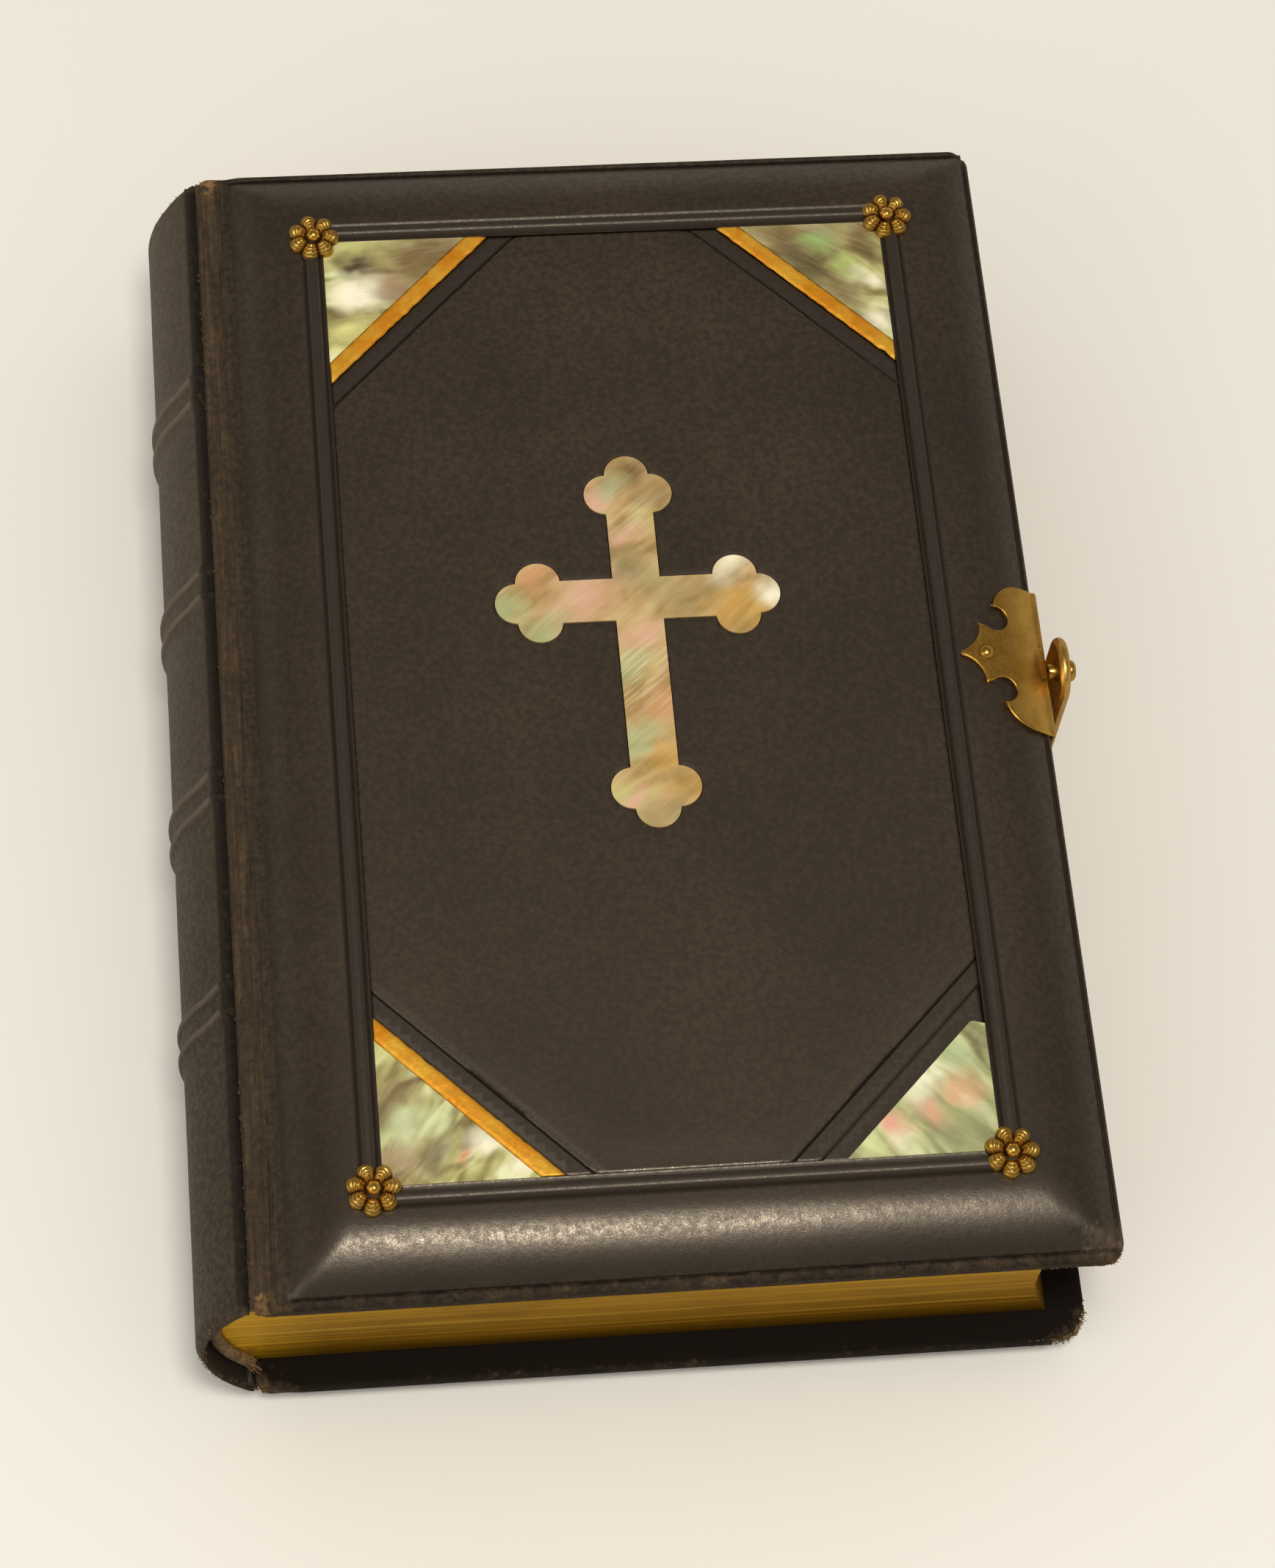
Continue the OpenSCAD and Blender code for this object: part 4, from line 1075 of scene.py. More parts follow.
# spots of painted sheen on the cross
cross_shine = [(-0.5, 0.0, 7.0, 0.3), (0.5, 26, 5.0, 0.12)]
cross_shell = shell_finish("cross_shell", cross_stops, -32, 4.5, cross_patches, cross_shine)
dress(cross_shell, "pearl_cross")
triangles = {
    "pearl_head_joint": (dark_stops, 0, 4.5, [
        (-38, 73, 4.0, MOSS, 0.5), (-37, 70.4, 3.8, paint(78, 64, 38), 0.95),
        (-36.5, 66, 4.8, CREAM, 1.0), (-37, 62.2, 2.8, OLIVE, 0.7),
        (-38.5, 58.8, 4.2, paint(230, 224, 140), 0.9), (-26, 71.5, 9.0, BARK, 1.0),
        (-31.5, 66.5, 4.2, paint(164, 132, 100), 0.8)]),
    "pearl_head_fore": (dark_stops, 35, 4.0, [
        (29, 72, 9.0, BARK, 1.0), (39, 73, 5.0, paint(124, 104, 64), 0.9),
        (30, 67.5, 4.5, paint(82, 74, 42), 0.95), (35.5, 62.5, 4.5, paint(126, 106, 70), 0.9),
        (31.7, 71.4, 2.8, paint(150, 176, 104), 0.9),
        (35.5, 67.2, 2.8, paint(178, 194, 112), 0.95), (39.4, 64.8, 2.6, CREAM, 0.8),
        (40.6, 56.6, 3.6, CREAM, 0.8)]),
    "pearl_tail_joint": (dark_stops, -50, 3.2, [
        (-40.8, -56, 3.0, MOSS, 0.7), (-39.5, -61.8, 4.2, paint(142, 122, 86), 0.9),
        (-38, -66.6, 4.2, paint(206, 216, 166), 0.9),
        (-33.2, -65.4, 3.4, paint(214, 220, 168), 0.8),
        (-39.6, -72.4, 4.4, paint(168, 142, 110), 0.9),
        (-34.6, -71, 3.8, paint(128, 116, 82), 0.9),
        (-27.4, -69.4, 3.6, CREAM, 1.0), (-30.4, -71.4, 1.8, SALMON, 0.9),
        (-25.8, -72, 1.8, OLIVE, 0.9), (-23, -72.6, 2.6, CREAM, 0.9)]),
    "pearl_tail_fore": (pale_stops, 45, 4.0, [
        (37, -72, 7.0, paint(160, 166, 116), 0.9), (31.5, -64.5, 4.2, CREAM, 0.7),
        (27.2, -70.4, 3.2, paint(230, 170, 142), 0.95),
        (33, -68.8, 3.2, paint(222, 166, 132), 0.9),
        (37.4, -65.6, 3.4, paint(220, 164, 124), 0.9), (36.5, -60, 4.0, GREEN, 0.7),
        (24.5, -73.5, 3.5, paint(214, 220, 156), 0.8)])}
triangle_shell = {node: shell_finish(node + "_shell", *made) for node, made in triangles.items()}
for node, shell in triangle_shell.items():
    dress(shell, node)


def chipped_triangle():
    """The triangle at tail and fore edge: its tip beside the bead has broken off."""
    low, slant, sides = CORNER_X - LEG, 48, 12
    outline = []
    for k in range(slant + 1):
        x = lerp(low, CORNER_X - 2.0, k / slant)
        outline.append((x, x - low - CORNER_Y - 0.09 * abs(waver(k * 0.45, 2.0, 4.0))))
    top = outline[-1][1]
    break_line = ((1.5, 0.08), (1.1, -0.06), (0.6, -0.2), (0.0, -0.35))
    outline += [(CORNER_X - inward, top + rise) for inward, rise in break_line]
    outline += [(CORNER_X, lerp(top, -CORNER_Y, k / sides)) for k in range(1, sides + 1)]
    outline += [(lerp(CORNER_X, low, k / sides), -CORNER_Y) for k in range(1, sides)]
    middle = Vector((CORNER_X - LEG / 3, LEG / 3 - CORNER_Y))
    levels = ((0.0, PEARL_LOW), (0.0, PANEL_TOP - 0.07), (0.025, PANEL_TOP - 0.02),
              (0.07, PANEL_TOP), (4.0, PANEL_TOP))
    points = []
    for inset, z in levels:
        for corner in outline:
            way = middle - Vector(corner)
            at = Vector(corner) + way * min(1.0, inset / way.length)
            points.append((at.x, at.y, z))
    return points, ring_faces(len(levels), len(outline), flip=True)


chipped = new_piece("pearl_tail_fore_chipped", *chipped_triangle(),
                    triangle_shell["pearl_tail_fore"], sharp=15)
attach(chipped, "front_cover")
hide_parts("pearl_tail_fore")

# Gilt strips: narrow strips of gilded leather let into the channels beside the corner
# triangles, a little ragged at their edges. The fourth is lost, and its channel is bare.
STRIP_LONG, STRIP_ACROSS, STRIP_THICK = 90, 7, 0.25
gilding = new_finish("strip_gilding", 0.4, 0.55)
flake = gilding.grain(0.9, 4.0)
leaf_gold = gilding.tint(gilding.span(gilding.grain(3.5, 3.0), 0.35, 0.65),
                         paint(236, 152, 24), paint(246, 186, 58))
leaf_gold = gilding.tint(gilding.span(flake, 0.6, 0.75, 0.0, 0.6), leaf_gold, paint(190, 108, 22))
gilding.feed({"Base Color": leaf_gold, "Roughness": gilding.span(flake, 0.3, 0.7, 0.32, 0.55)})
gilding.relief((flake, 0.4, 0.15), (gilding.grain(0.3, 2.0), 0.3, 0.06))


def gilt_strip(name, sx, sy, node):
    points = []
    for i in range(STRIP_LONG + 1):
        t = i / STRIP_LONG
        low = LEG + 0.2 + 0.16 * waver(t * 22, sx * 3.0, sy * 5.0)
        high = STRIP_FAR - 0.12 + 0.24 * waver(t * 26, sx * 7.0, sy * 2.0)
        high -= 0.5 * max(0, waver(t * 9, sx, sy * 4.0) - 0.35)
        for j in range(STRIP_ACROSS + 1):
            length = lerp(low, high, j / STRIP_ACROSS) - 0.12
            x = CORNER_X - 0.06 - length * t
            y = CORNER_Y - 0.06 - length * (1 - t)
            z = PANEL_TOP - 0.14 + 0.05 * waver(x * 0.9, y * 0.9, 2.0)
            points.append((sx * x, sy * y, z - (0.16 if j in (0, STRIP_ACROSS) else 0)))
    faces = grid_faces(STRIP_LONG + 1, STRIP_ACROSS + 1, flip=sx * sy < 0)
    piece = new_piece(name, points, faces, gilding, sharp=70)
    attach(piece, "front_cover")
    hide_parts(node)
    thicken(piece, "thickness", STRIP_THICK)


gilt_strip("gilt_strip_head_joint", -1, 1, "gilt_head_joint")
gilt_strip("gilt_strip_head_fore", 1, 1, "gilt_head_fore")
gilt_strip("gilt_strip_tail_joint", -1, -1, "gilt_tail_joint")

# Rosettes: small cast and chased brass flowers with seven ridged petals round a ball,
# each on a shank that is driven through the corner of the bead into the board.
ROSETTE_X, ROSETTE_Y = 43.0, 75.5
PETALS, PETAL_ROUND, PETAL_LONG = 7, 3.0, 0.85
PETAL_SIDES, PETAL_STEPS = PETALS * 20, 44
BALL, BALL_Z, BALL_STEPS, BALL_SIDES = 1.0, 1.04, 16, 32


def brass_finish(name, bright, brown, dark, roughness, scratch=0.3):
    """Brass with clouds of brown tarnish, grime in its hollows, painted shade at its feet and low
    parts, and fine scratches.
    """
    brass = new_finish(name, roughness, 1.0)
    hollow = brass.mark("hollow")
    cloud = brass.grain(4.5, 4.0)
    fine = brass.grain(0.5, 3.0)
    scrape = brass.grain(0.22, 2.0, (1, 10, 10))
    metal = brass.tint(brass.span(cloud, 0.35, 0.7), bright, brown)
    metal = brass.tint(brass.span(fine, 0.5, 0.75, 0.0, 0.45), metal, brown)
    gloss = brass.plus(brass.span(fine, 0.3, 0.7, roughness - 0.08, roughness + 0.1),
                       brass.span(hollow, 0.0, 1.0, 0.0, 0.3))
    # grime and painted shade darken the metal where the piece is marked for them
    brass.feed({"Base Color": brass.tint(hollow, metal, dark), "Roughness": gloss})
    brass.relief((fine, 0.12, 0.1), (scrape, scratch * 0.5, 0.05))
    return brass


cast_brass = brass_finish("cast_brass", paint(246, 200, 104), paint(222, 170, 70),
                          paint(92, 62, 20), 0.25)


def rosette(name, sx, sy, node):
    points, hollow = [], []
    turn = radians(dice.uniform(-8, 8))
    for i in range(PETAL_STEPS + 1):
        t = i / PETAL_STEPS
        body = fade(0.16, 0.55, t) * sqrt(max(0.0, 1 - max(0.0, (t - 0.5) / 0.5) ** 2.4))
        chased = cos(2 * pi * (t - 0.38) / 0.15)
        chased *= fade(0.34, 0.48, t) * fall(0.93, 1.0, t)
        for j in range(PETAL_SIDES):
            a = 2 * pi * j / PETAL_SIDES
            lobe = abs(cos(PETALS / 2 * a))
            out = (PETAL_ROUND + PETAL_LONG * lobe ** 0.75) * t
            ridge = chased * lobe ** 0.5
            rise = 0.25 + (0.5 + 0.85 * lobe ** 0.8) * body + 0.085 * ridge
            points.append((out * cos(a + turn), out * sin(a + turn),
                           rise if i < PETAL_STEPS else 0.05))
            # grime in the gaps between the petals and in the chased grooves; painted shade round
            # the foot of the ball and along the petals' outer edge
            grime_and_shade = 0.95 * (1 - lobe) ** 2 * fade(0.2, 0.5, t) + 0.9 * fall(0.28, 0.48, t)
            grime_and_shade += 0.75 * max(0.0, -ridge) + 0.3 * fade(0.9, 1.0, t)
            hollow.append(min(1.0, grime_and_shade))
    faces = ring_faces(PETAL_STEPS + 1, PETAL_SIDES, flip=True, ends="open")
    faces += ring_faces(BALL_STEPS + 1, BALL_SIDES, len(points), flip=True, ends="open")
    for i in range(BALL_STEPS + 1):
        a = pi * 0.66 * i / BALL_STEPS
        for j in range(BALL_SIDES):
            b = 2 * pi * j / BALL_SIDES
            out = BALL * sin(a)
            points.append((out * cos(b), out * sin(b), BALL_Z + BALL * cos(a)))
            # painted shade on the lower side of the ball
            hollow.append(0.85 * fade(0.7, 1.0, i / BALL_STEPS))
    placed = [(sx * ROSETTE_X + x, sy * ROSETTE_Y + y, PANEL_TOP + z) for x, y, z in points]
    piece = new_piece(name, placed, faces, cast_brass, sharp=70)
    mark(piece, hollow=hollow)
    weld(piece)
    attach(piece, "front_cover")
    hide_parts(node)


for end, sy in (("head", 1), ("tail", -1)):
    for side, sx in (("joint", -1), ("fore", 1)):
        rosette(f"rosette_flower_{end}_{side}", sx, sy, f"rosette_{end}_{side}")

# Front clasp plate: brass sheet sawn to a batlike outline, bent over the padded slope and
# down the fore edge, where its lip has a hole for the stud. One rivet holds it.
CLASP_Y = 0.7
PLATE_THICK, PLATE_EDGE, PLATE_HALF = 0.8, 0.3, 11.7
PLATE_ROUND = SLOPE_ROUND + PLATE_THICK - 0.05
WING_X, WING_Y, WING_ROUND = 55.6, 6.95, 4.75
NOTCH_X, NOTCH_Y, NOTCH_ROUND = 51.0, 5.75, 1.9
BITE_X, BITE_Y, BITE_ROUND = 43.95, 4.65, 4.5
TIP_X = 45.2
TONGUE = [(TIP_X, 0), (48.42, 4.95), (51.0, 3.87), (52.4, 4.55), (52.4, WING_Y)]
RIVET_X = 49.0
FOLD_X, FOLD_STEPS, BEND_STEPS, LIP_STEPS = 57.55, 78, 6, 14
LIP_OUT, LIP_LOW = 58.3, FRONT_Z - 2.8
SNAP_Z, SNAP_HOLE = 36.4, 1.4


def in_plate(x, y):
    """Whether a place of the flat sheet is left standing by the saw."""
    for s in (-1, 1):
        in_notch = hypot(x - NOTCH_X, y - s * NOTCH_Y) < NOTCH_ROUND
        if in_notch or hypot(x - BITE_X, y - s * BITE_Y) < BITE_ROUND:
            return False
    outline = [(u, -v) for u, v in TONGUE] + [(60, -WING_Y), (60, WING_Y)] + TONGUE[:0:-1]
    in_tongue = False
    for (ax, ay), (bx, by) in zip(outline, outline[1:] + outline[:1]):
        if (ay > y) != (by > y) and x < ax + (y - ay) / (by - ay) * (bx - ax):
            in_tongue = not in_tongue
    in_wing = any(hypot(x - WING_X, y - s * WING_Y) < WING_ROUND for s in (-1, 1))
    return x < FOLD_X and (in_wing or in_tongue or (x > WING_X and abs(y) < PLATE_HALF))


def plate_height(x):
    past = max(0.0, x - TOP_X)
    return FRONT_Z + COVER_THICK - SLOPE_ROUND + sqrt(PLATE_ROUND ** 2 - past ** 2)


def edge_drop(off):
    """How far the rounded edge of the sheet falls, this far in from it."""
    t = 1 - min(1.0, off / PLATE_EDGE)
    return PLATE_EDGE * (1 - sqrt(max(0.0, 1 - t ** 2)))


def sawn_edges(points, faces):
    """The sides of the sheet that the saw has cut, without the fold and the rivet's hole."""
    uses = {}
    for face in faces:
        for k in range(3):
            side = tuple(sorted((face[k], face[(k + 1) % 3])))
            uses[side] = uses.get(side, 0) + 1

    def on_fold(k):
        return points[k][0] > FOLD_X - 0.5 and abs(points[k][1] - CLASP_Y) < PLATE_HALF - 0.4

    def on_end_or_hole(k):
        x, y, _ = points[k]
        return x > FOLD_X - 0.01 or hypot(x - RIVET_X, y - CLASP_Y) < 0.9

    return [side for side, count in uses.items()
            if count == 1 and not any(map(on_fold, side)) and not all(map(on_end_or_hole, side))]


def front_clasp_plate():
    sheet = Sheet()
    for inset in (0.0, 0.07, 0.17, 0.3):
        for s in (-1, 1):
            sheet.circle(WING_X, s * WING_Y, WING_ROUND - inset, 96)
        for s in (-1, 1):
            sheet.circle(NOTCH_X, s * NOTCH_Y, NOTCH_ROUND + inset, 64)
            sheet.circle(BITE_X, s * BITE_Y, BITE_ROUND + inset, 96)
    for s in (-1, 1):
        sheet.draw([(x, s * y) for x, y in TONGUE])
        sheet.draw([(WING_X, s * PLATE_HALF), (FOLD_X, s * PLATE_HALF)])
    fold = [-PLATE_HALF + 2 * PLATE_HALF * k / FOLD_STEPS for k in range(FOLD_STEPS + 1)]
    sheet.draw([(FOLD_X, y) for y in fold])
    sheet.circle(RIVET_X, 0, 0.62, 24)
    for i in range(1, 22):
        for j in range(-19, 20):
            x, y = TIP_X + i * 0.58, j * 0.6
            if in_plate(x, y) and x < FOLD_X - 0.2:
                sheet.dots.append(Vector((x, y)))
    flat, faces = sheet.cut(lambda x, y: in_plate(x, y) and hypot(x - RIVET_X, y) > 0.6)
    points = [(p.x, p.y + CLASP_Y, plate_height(p.x)) for p in flat]
    rim = sawn_edges(points, faces)
    low = np.array([points[a][:2] for a, _ in rim])
    along = np.array([points[b][:2] for _, b in rim]) - low
    for k, (x, y, z) in enumerate(points):
        to = np.array((x, y)) - low
        share = np.clip((to * along).sum(1) / np.maximum((along ** 2).sum(1), 1e-9), 0, 1)
        off = np.sqrt(((to - along * share[:, None]) ** 2).sum(1)).min()
        points[k] = (x, y, z - edge_drop(off))
    top = plate_height(FOLD_X)
    profile = [(FOLD_X, top)]
    for k in range(1, BEND_STEPS + 1):
        t = k / BEND_STEPS
        a = radians(44 + (90 - 44) * t)
        profile.append((LIP_OUT - 1.1 + 1.1 * sin(a), top - 0.55 * t - 0.12 * t ** 2))
    for k in range(1, LIP_STEPS + 1):
        profile.append((LIP_OUT, lerp(top - 0.67, LIP_LOW, k / LIP_STEPS)))
    start = len(points)
    for y in fold:
        drop = edge_drop(PLATE_HALF - abs(y))
        for k, (x, z) in enumerate(profile):
            upright = min(1.0, k / BEND_STEPS)
            points.append((x - drop * upright, y + CLASP_Y, z - drop * (1 - upright)))
    for face in grid_faces(len(fold), len(profile), start):
        _, y, z = points[face[0]]
        k = (face[0] - start) % len(profile)
        middle_z = (z + points[face[1]][2]) / 2
        if k < BEND_STEPS or hypot(y - CLASP_Y + 0.15, middle_z - SNAP_Z) > SNAP_HOLE:
            faces.append(face)
    return points, faces


sheet_brass = brass_finish("sheet_brass", paint(226, 180, 90), paint(192, 142, 56),
                           paint(96, 68, 26), 0.36)
clasp_plate = new_piece("clasp_plate_front", *front_clasp_plate(), sheet_brass, sharp=50)
weld(clasp_plate, 0.004, face_up=True)
plate_mesh = clasp_plate.data
plate_mesh.polygons.foreach_set("use_smooth", [True] * len(plate_mesh.polygons))
to_rivet = [hypot(v.co.x / MM - RIVET_X, v.co.y / MM - CLASP_Y) for v in plate_mesh.vertices]
# the plate is darker round the rivet
mark(clasp_plate, hollow=[max(0.0, 0.75 - 0.5 * off) for off in to_rivet])
thicken(clasp_plate, "sheet", PLATE_THICK)
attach(clasp_plate, "front_cover")
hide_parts("front_plate")

# Rivet of the front plate: a short brass pin with a domed head, hammered down on the
# plate, and darker round its edge.
RIVET_LEAN = asin((RIVET_X - TOP_X) / PLATE_ROUND)
PIN, DOME_WIDE, DOME_HIGH = 0.6, 1.12, 1.02
turned_brass = brass_finish("turned_brass", paint(236, 192, 104), paint(206, 158, 72),
                            paint(70, 48, 18), 0.26)


def turned(name, profile, placed, dark, sides=40):
    """A turned piece: profile is (distance from the axis, distance along it), dark how much each
    ring is darkened.
    """
    points, hollow = [], []
    dark = dark + [dark[-1]] * (len(profile) - len(dark))
    for (r, h), grime_and_shade in zip(profile, dark):
        for j in range(sides):
            a = 2 * pi * j / sides
            points.append(placed(r * cos(a), r * sin(a), h))
            hollow.append(grime_and_shade)
    piece = new_piece(name, points, ring_faces(len(profile), sides), turned_brass, sharp=50)
    mark(piece, hollow=hollow)
    return piece


def on_front_slope(u, v, h):
    """From the rivet's own axes to its place on the slope of the front cover."""
    out, c, s = PLATE_ROUND - 0.05 + h, cos(RIVET_LEAN), sin(RIVET_LEAN)
    z = FRONT_Z + COVER_THICK - SLOPE_ROUND + out * c - u * s
    return TOP_X + out * s + u * c, CLASP_Y + v, z


dome = [radians(a) for a in range(0, 90, 6)]
rivet_profile = [(PIN, -5.2), (PIN, -0.15), (1.1, -0.15)]
rivet_profile += [(DOME_WIDE * cos(a), DOME_HIGH * sin(a) - 0.1) for a in dome] + [(0.02, 0.92)]
rivet = turned("clasp_rivet_front", rivet_profile, on_front_slope,
               [1, 1, 1, 1, 0.9, 0.6, 0.3, 0.1])
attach(rivet, "front_cover")
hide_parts("front_rivet")

# Hasp: a stout brass strap with a round head and rounded edges, hinged on a pin below
# the back cover's plate, that stands up past the fore edge.
HASP_MID_X, HASP_HALF_THICK, HASP_HALF_WIDE = 60.65, 0.82, 4.9
HINGE_Z, SHOULDER_Z, NECK_HALF = 5.8, 7.95, 0.65
BARREL, BARREL_HALF, BARREL_SIDES = 1.75, 2.5, 40


def hasp_outline(inset):
    """The strap's outline in its own plane, drawn in from the edge by inset."""
    r = HASP_HALF_WIDE - inset
    low = SHOULDER_Z + min(inset, 1.2)
    turns = [radians(a) for a in range(0, 181, 5)]
    path = [(r * cos(a), SNAP_Z + r * sin(a)) for a in turns]
    path += [(-r, lerp(SNAP_Z, low, k / 24)) for k in range(1, 25)]
    path += [(lerp(-r, r, k / 12), low) for k in range(1, 12)]
    path += [(r, lerp(low, SNAP_Z, k / 24)) for k in range(0, 24)]
    return path


# each level across the strap: how far its outline is drawn in, how far out it lies
levels = [(3.9, -0.3), (2.6, -0.3), (1.9, -0.34), (1.4, -0.5), (1.1, -0.68)]
for a in (radians(d) for d in range(-75, 76, 15)):
    levels.append((HASP_HALF_THICK * (1 - cos(a)), HASP_HALF_THICK * sin(a)))
levels += [(1.1, 0.76), (1.6, 0.68), (2.6, 0.64), (3.9, 0.64)]
hasp_points = [(across, y, z) for inset, across in levels for y, z in hasp_outline(inset)]
hasp_faces = ring_faces(len(levels), len(hasp_outline(0)), flip=True)
barrel_profile = [(0.66, -BARREL_HALF), (1.55, -BARREL_HALF), (BARREL, 0.2 - BARREL_HALF),
                  (BARREL, BARREL_HALF - 0.2), (1.55, BARREL_HALF), (0.66, BARREL_HALF)]
hasp_faces += ring_faces(len(barrel_profile), BARREL_SIDES, len(hasp_points), True, "joined")
for r, h in barrel_profile:
    for a in (2 * pi * j / BARREL_SIDES for j in range(BARREL_SIDES)):
        hasp_points.append((r * cos(a), h, HINGE_Z + r * sin(a)))
neck_low, neck_high = HINGE_Z + 1.2, SHOULDER_Z + 0.6
neck = [(-NECK_HALF, neck_low), (NECK_HALF, neck_low),
        (NECK_HALF, neck_high), (-NECK_HALF, neck_high)]
hasp_faces += ring_faces(2, len(neck), len(hasp_points))
hasp_points += [(x, y, z) for y in (0.1 - BARREL_HALF, BARREL_HALF - 0.1) for x, z in neck]
hasp_points = [(HASP_MID_X + x, CLASP_Y + y, z) for x, y, z in hasp_points]
strap_brass = brass_finish("strap_brass", paint(240, 196, 108), paint(220, 172, 82),
                           paint(90, 62, 24), 0.33, 0.2)
strap = new_piece("hasp_strap", hasp_points, hasp_faces, strap_brass, sharp=55)
# painted shade: the strap is darker toward its lower end
mark(strap, hollow=[0.35 * fall(8.0, 16.0, z) for _, _, z in hasp_points])
weld(strap)
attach(strap, "clasp_hasp")
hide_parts("hasp")

# Stud of the hasp: turned from brass rod and riveted through the strap's head, with a
# round knob outside to pull it by and a nose inside that snaps into the plate's hole.
stud_profile = [(0.02, -2.05), (0.55, -2.05), (0.98, -1.85), (1.1, -1.5), (1.05, -0.6),
                (1.4, -0.62), (1.4, 0.72), (1.0, 0.74), (0.9, 0.95), (1.2, 1.02), (1.45, 1.2),
                (1.56, 1.5), (1.52, 1.78), (1.34, 2.04), (1.0, 2.24), (0.55, 2.33), (0.02, 2.35)]


def through_hasp(u, v, h):
    return HASP_MID_X + h, CLASP_Y + u, SNAP_Z + v


# darker where the stud passes through the strap and at the neck under the knob
stud = turned("hasp_stud_turned", stud_profile, through_hasp,
              [0, 0, 0, 0, 0.5, 0.6, 0.6, 0.9, 0.9, 0.4, 0.0])
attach(stud, "clasp_hasp")
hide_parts("hasp_stud")

# Back clasp plate: bent brass sheet under the back cover, with two knuckles rolled for
# the hinge pin, held by two rivets; all of it is out of sight from above.
dress(sheet_brass, "back_plate")
dress(turned_brass, "back_rivet_head", "back_rivet_tail", "hinge_pin")

# Torn crumbs: specks of leather fibre that cling along the joint of the front cover,
# most of them by its worn tail corner, where the skin has broken.
CRUMBS, CLUSTERS, CRUMB_HALF_Y = 130, 16, 88.5
CRUMB_X, CRUMB_Z, CRUMB_SIZE = (-60.2, -59.3), (38.4, 39.0), (0.1, 0.28)
crumb_points, crumb_faces, crumb_worn = [], [], []
clusters = [dice.uniform(-88, 86) for _ in range(CLUSTERS)] + [-87, -85, -82, -79]
for _ in range(CRUMBS):
    y = clamp(dice.choice(clusters) + dice.gauss(0, 3.2), -CRUMB_HALF_Y, CRUMB_HALF_Y)
    x, z = dice.uniform(*CRUMB_X), dice.uniform(*CRUMB_Z)
    size, shade = dice.uniform(*CRUMB_SIZE), dice.uniform(0.5, 0.95)
    start = len(crumb_points)
    ball = bmesh.new()
    bmesh.ops.create_icosphere(ball, subdivisions=1, radius=size)
    for v in ball.verts:
        k = 1 + 0.7 * waver(*(v.co * 9 + Vector((x, y, 0))))
        crumb_points.append((x + v.co.x * k, y + v.co.y * k * 1.6, z + v.co.z * k * 0.7))
        crumb_worn.append(shade)
    crumb_faces += [tuple(start + v.index for v in f.verts) for f in ball.faces]
    ball.free()
unmarked = [0.0] * len(crumb_points)
crumbs = new_piece("joint_crumbs", crumb_points, crumb_faces, edge_calf)
mark(crumbs, worn=crumb_worn, burnished=unmarked, painted_shade=unmarked)
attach(crumbs, "front_cover")

# Frayed edges: where the leather has worn through at the corners and at the ends of the
# spine, loose fibres of the hide and of the board under it stand out from the edge.
FIBRE_THICK = (0.05, 0.1)
hide_fibre = new_finish("frayed_hide", 0.95)
fuzz = hide_fibre.grain(0.6, 3.0)
hide_fibre.feed({"Base Color": hide_fibre.tint(hide_fibre.span(fuzz, 0.3, 0.7),
                                               paint(72, 54, 31), paint(134, 105, 64))})
hide_fibre.relief((fuzz, 0.5, 0.1))


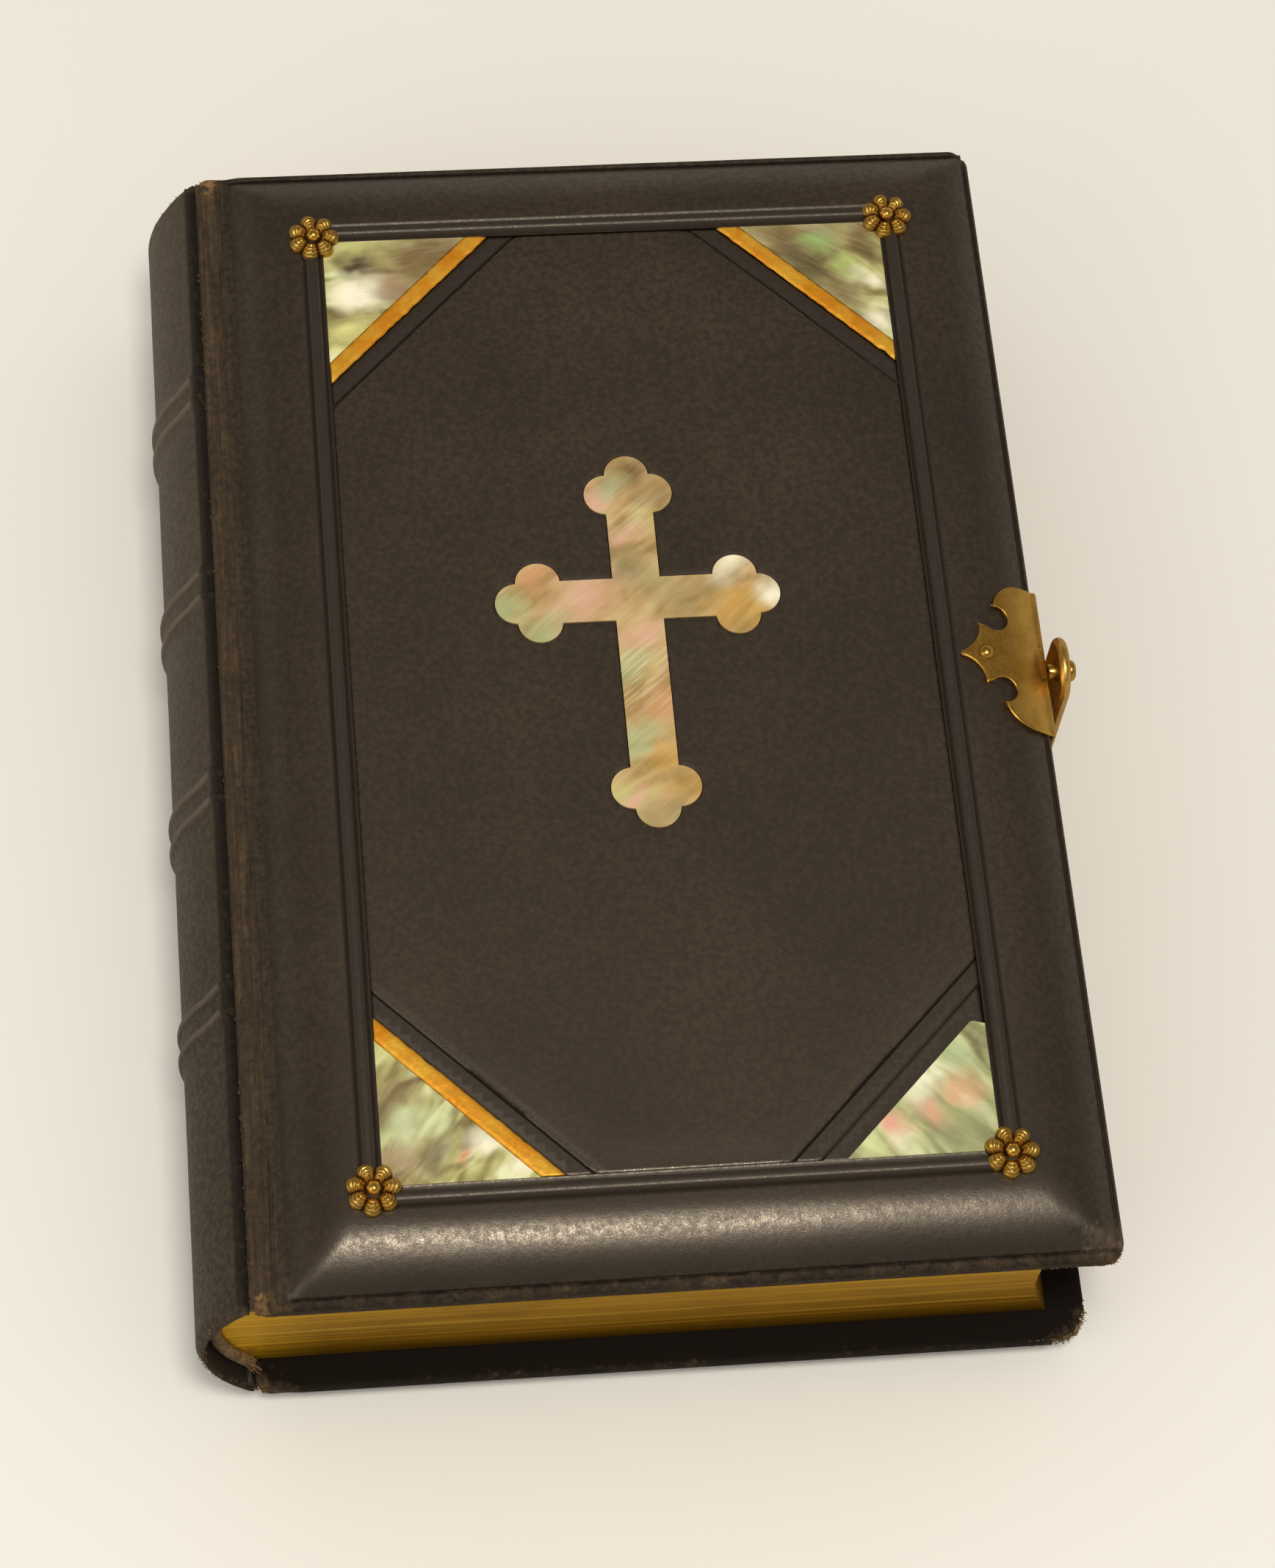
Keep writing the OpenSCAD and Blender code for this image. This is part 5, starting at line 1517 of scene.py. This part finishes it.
def corner_spots(corners, base_z, rows):
    """Places round corners: each row has the corner, how far along its long and its short
    edge, the lowest and highest place above base_z, and how many."""
    spots = []
    for sx, sy, before, after, low, high, count in rows:
        r = corners[(sx, sy)] * 0.97
        eighth = pi * r / 4
        cx = EDGE_FORE - r if sx > 0 else EDGE_JOINT + r
        cy = sy * (HALF_Y - r)
        for _ in range(count):
            s = dice.triangular(-before, after, 0)
            a = pi / 4 + clamp(s / r, -pi / 4, pi / 4)
            x = cx + sx * (r * cos(a) - max(0.0, s - eighth))
            y = cy + sy * (r * sin(a) + min(0.0, s + eighth))
            z = dice.uniform(base_z + low, base_z + high)
            spots.append(((x, y, z), (sx * cos(a), sy * sin(a), 0.0)))
    return spots


def spine_end_spots(sy, count):
    spots = []
    for _ in range(count):
        a = radians(dice.uniform(-40, 42))
        radius = dice.uniform(SPINE_INNER + 0.2, SPINE_RADIUS - 0.5)
        spots.append((round_spine(radius, a, sy * dice.uniform(88.9, 89.5)),
                      (-0.4 * cos(a), sy * 0.6, 0.4 * sin(a))))
    return spots


def frayed_edge(name, body, spots, reach):
    points, faces = [], []
    for at, out in spots:
        go = Vector(out) * dice.uniform(0.1, 0.6)
        go += Vector((dice.uniform(-1, 1), dice.uniform(-1, 1), dice.uniform(-0.6, 0.6)))
        go = go.normalized() * dice.uniform(0.4, 1.0) * reach
        curl = Vector((dice.uniform(-1, 1), dice.uniform(-1, 1), dice.uniform(-1, 0.6)))
        curl = curl * reach * 0.3
        start = Vector(at) - Vector(out) * 0.12
        path = [start + go * s + curl * s * s for s in (0, 0.33, 0.66, 1)]
        path = [(p.x, clamp(p.y, 0.1 - HALF_Y, HALF_Y - 0.1), max(0.2, p.z)) for p in path]
        thick = dice.uniform(*FIBRE_THICK)
        tube(path, [thick, thick, thick * 0.7, thick * 0.4], 5, points, faces)
    piece = new_piece(name, points, faces, hide_fibre)
    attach(piece, body)


front_rows = ((1, -1, 5, 14, 0.1, 1.6, 170), (1, 1, 4, 4, 0.4, 2.2, 26),
              (-1, -1, 5, 5, 0.3, 2.2, 150), (-1, 1, 4, 3, 0.5, 2.2, 50))
back_rows = ((1, -1, 5, 9, -2.6, -0.1, 220), (-1, -1, 3, 4, -2.2, -0.4, 50))
frayed_edge("front_cover_fray", "front_cover",
            corner_spots(FRONT_CORNERS, FRONT_Z, front_rows), 0.55)
frayed_edge("back_cover_fray", "back_cover",
            corner_spots(BACK_CORNERS, COVER_THICK, back_rows), 0.65)
frayed_edge("spine_end_fray", "leaf_block",
            spine_end_spots(-1, 300) + spine_end_spots(1, 120), 0.42)
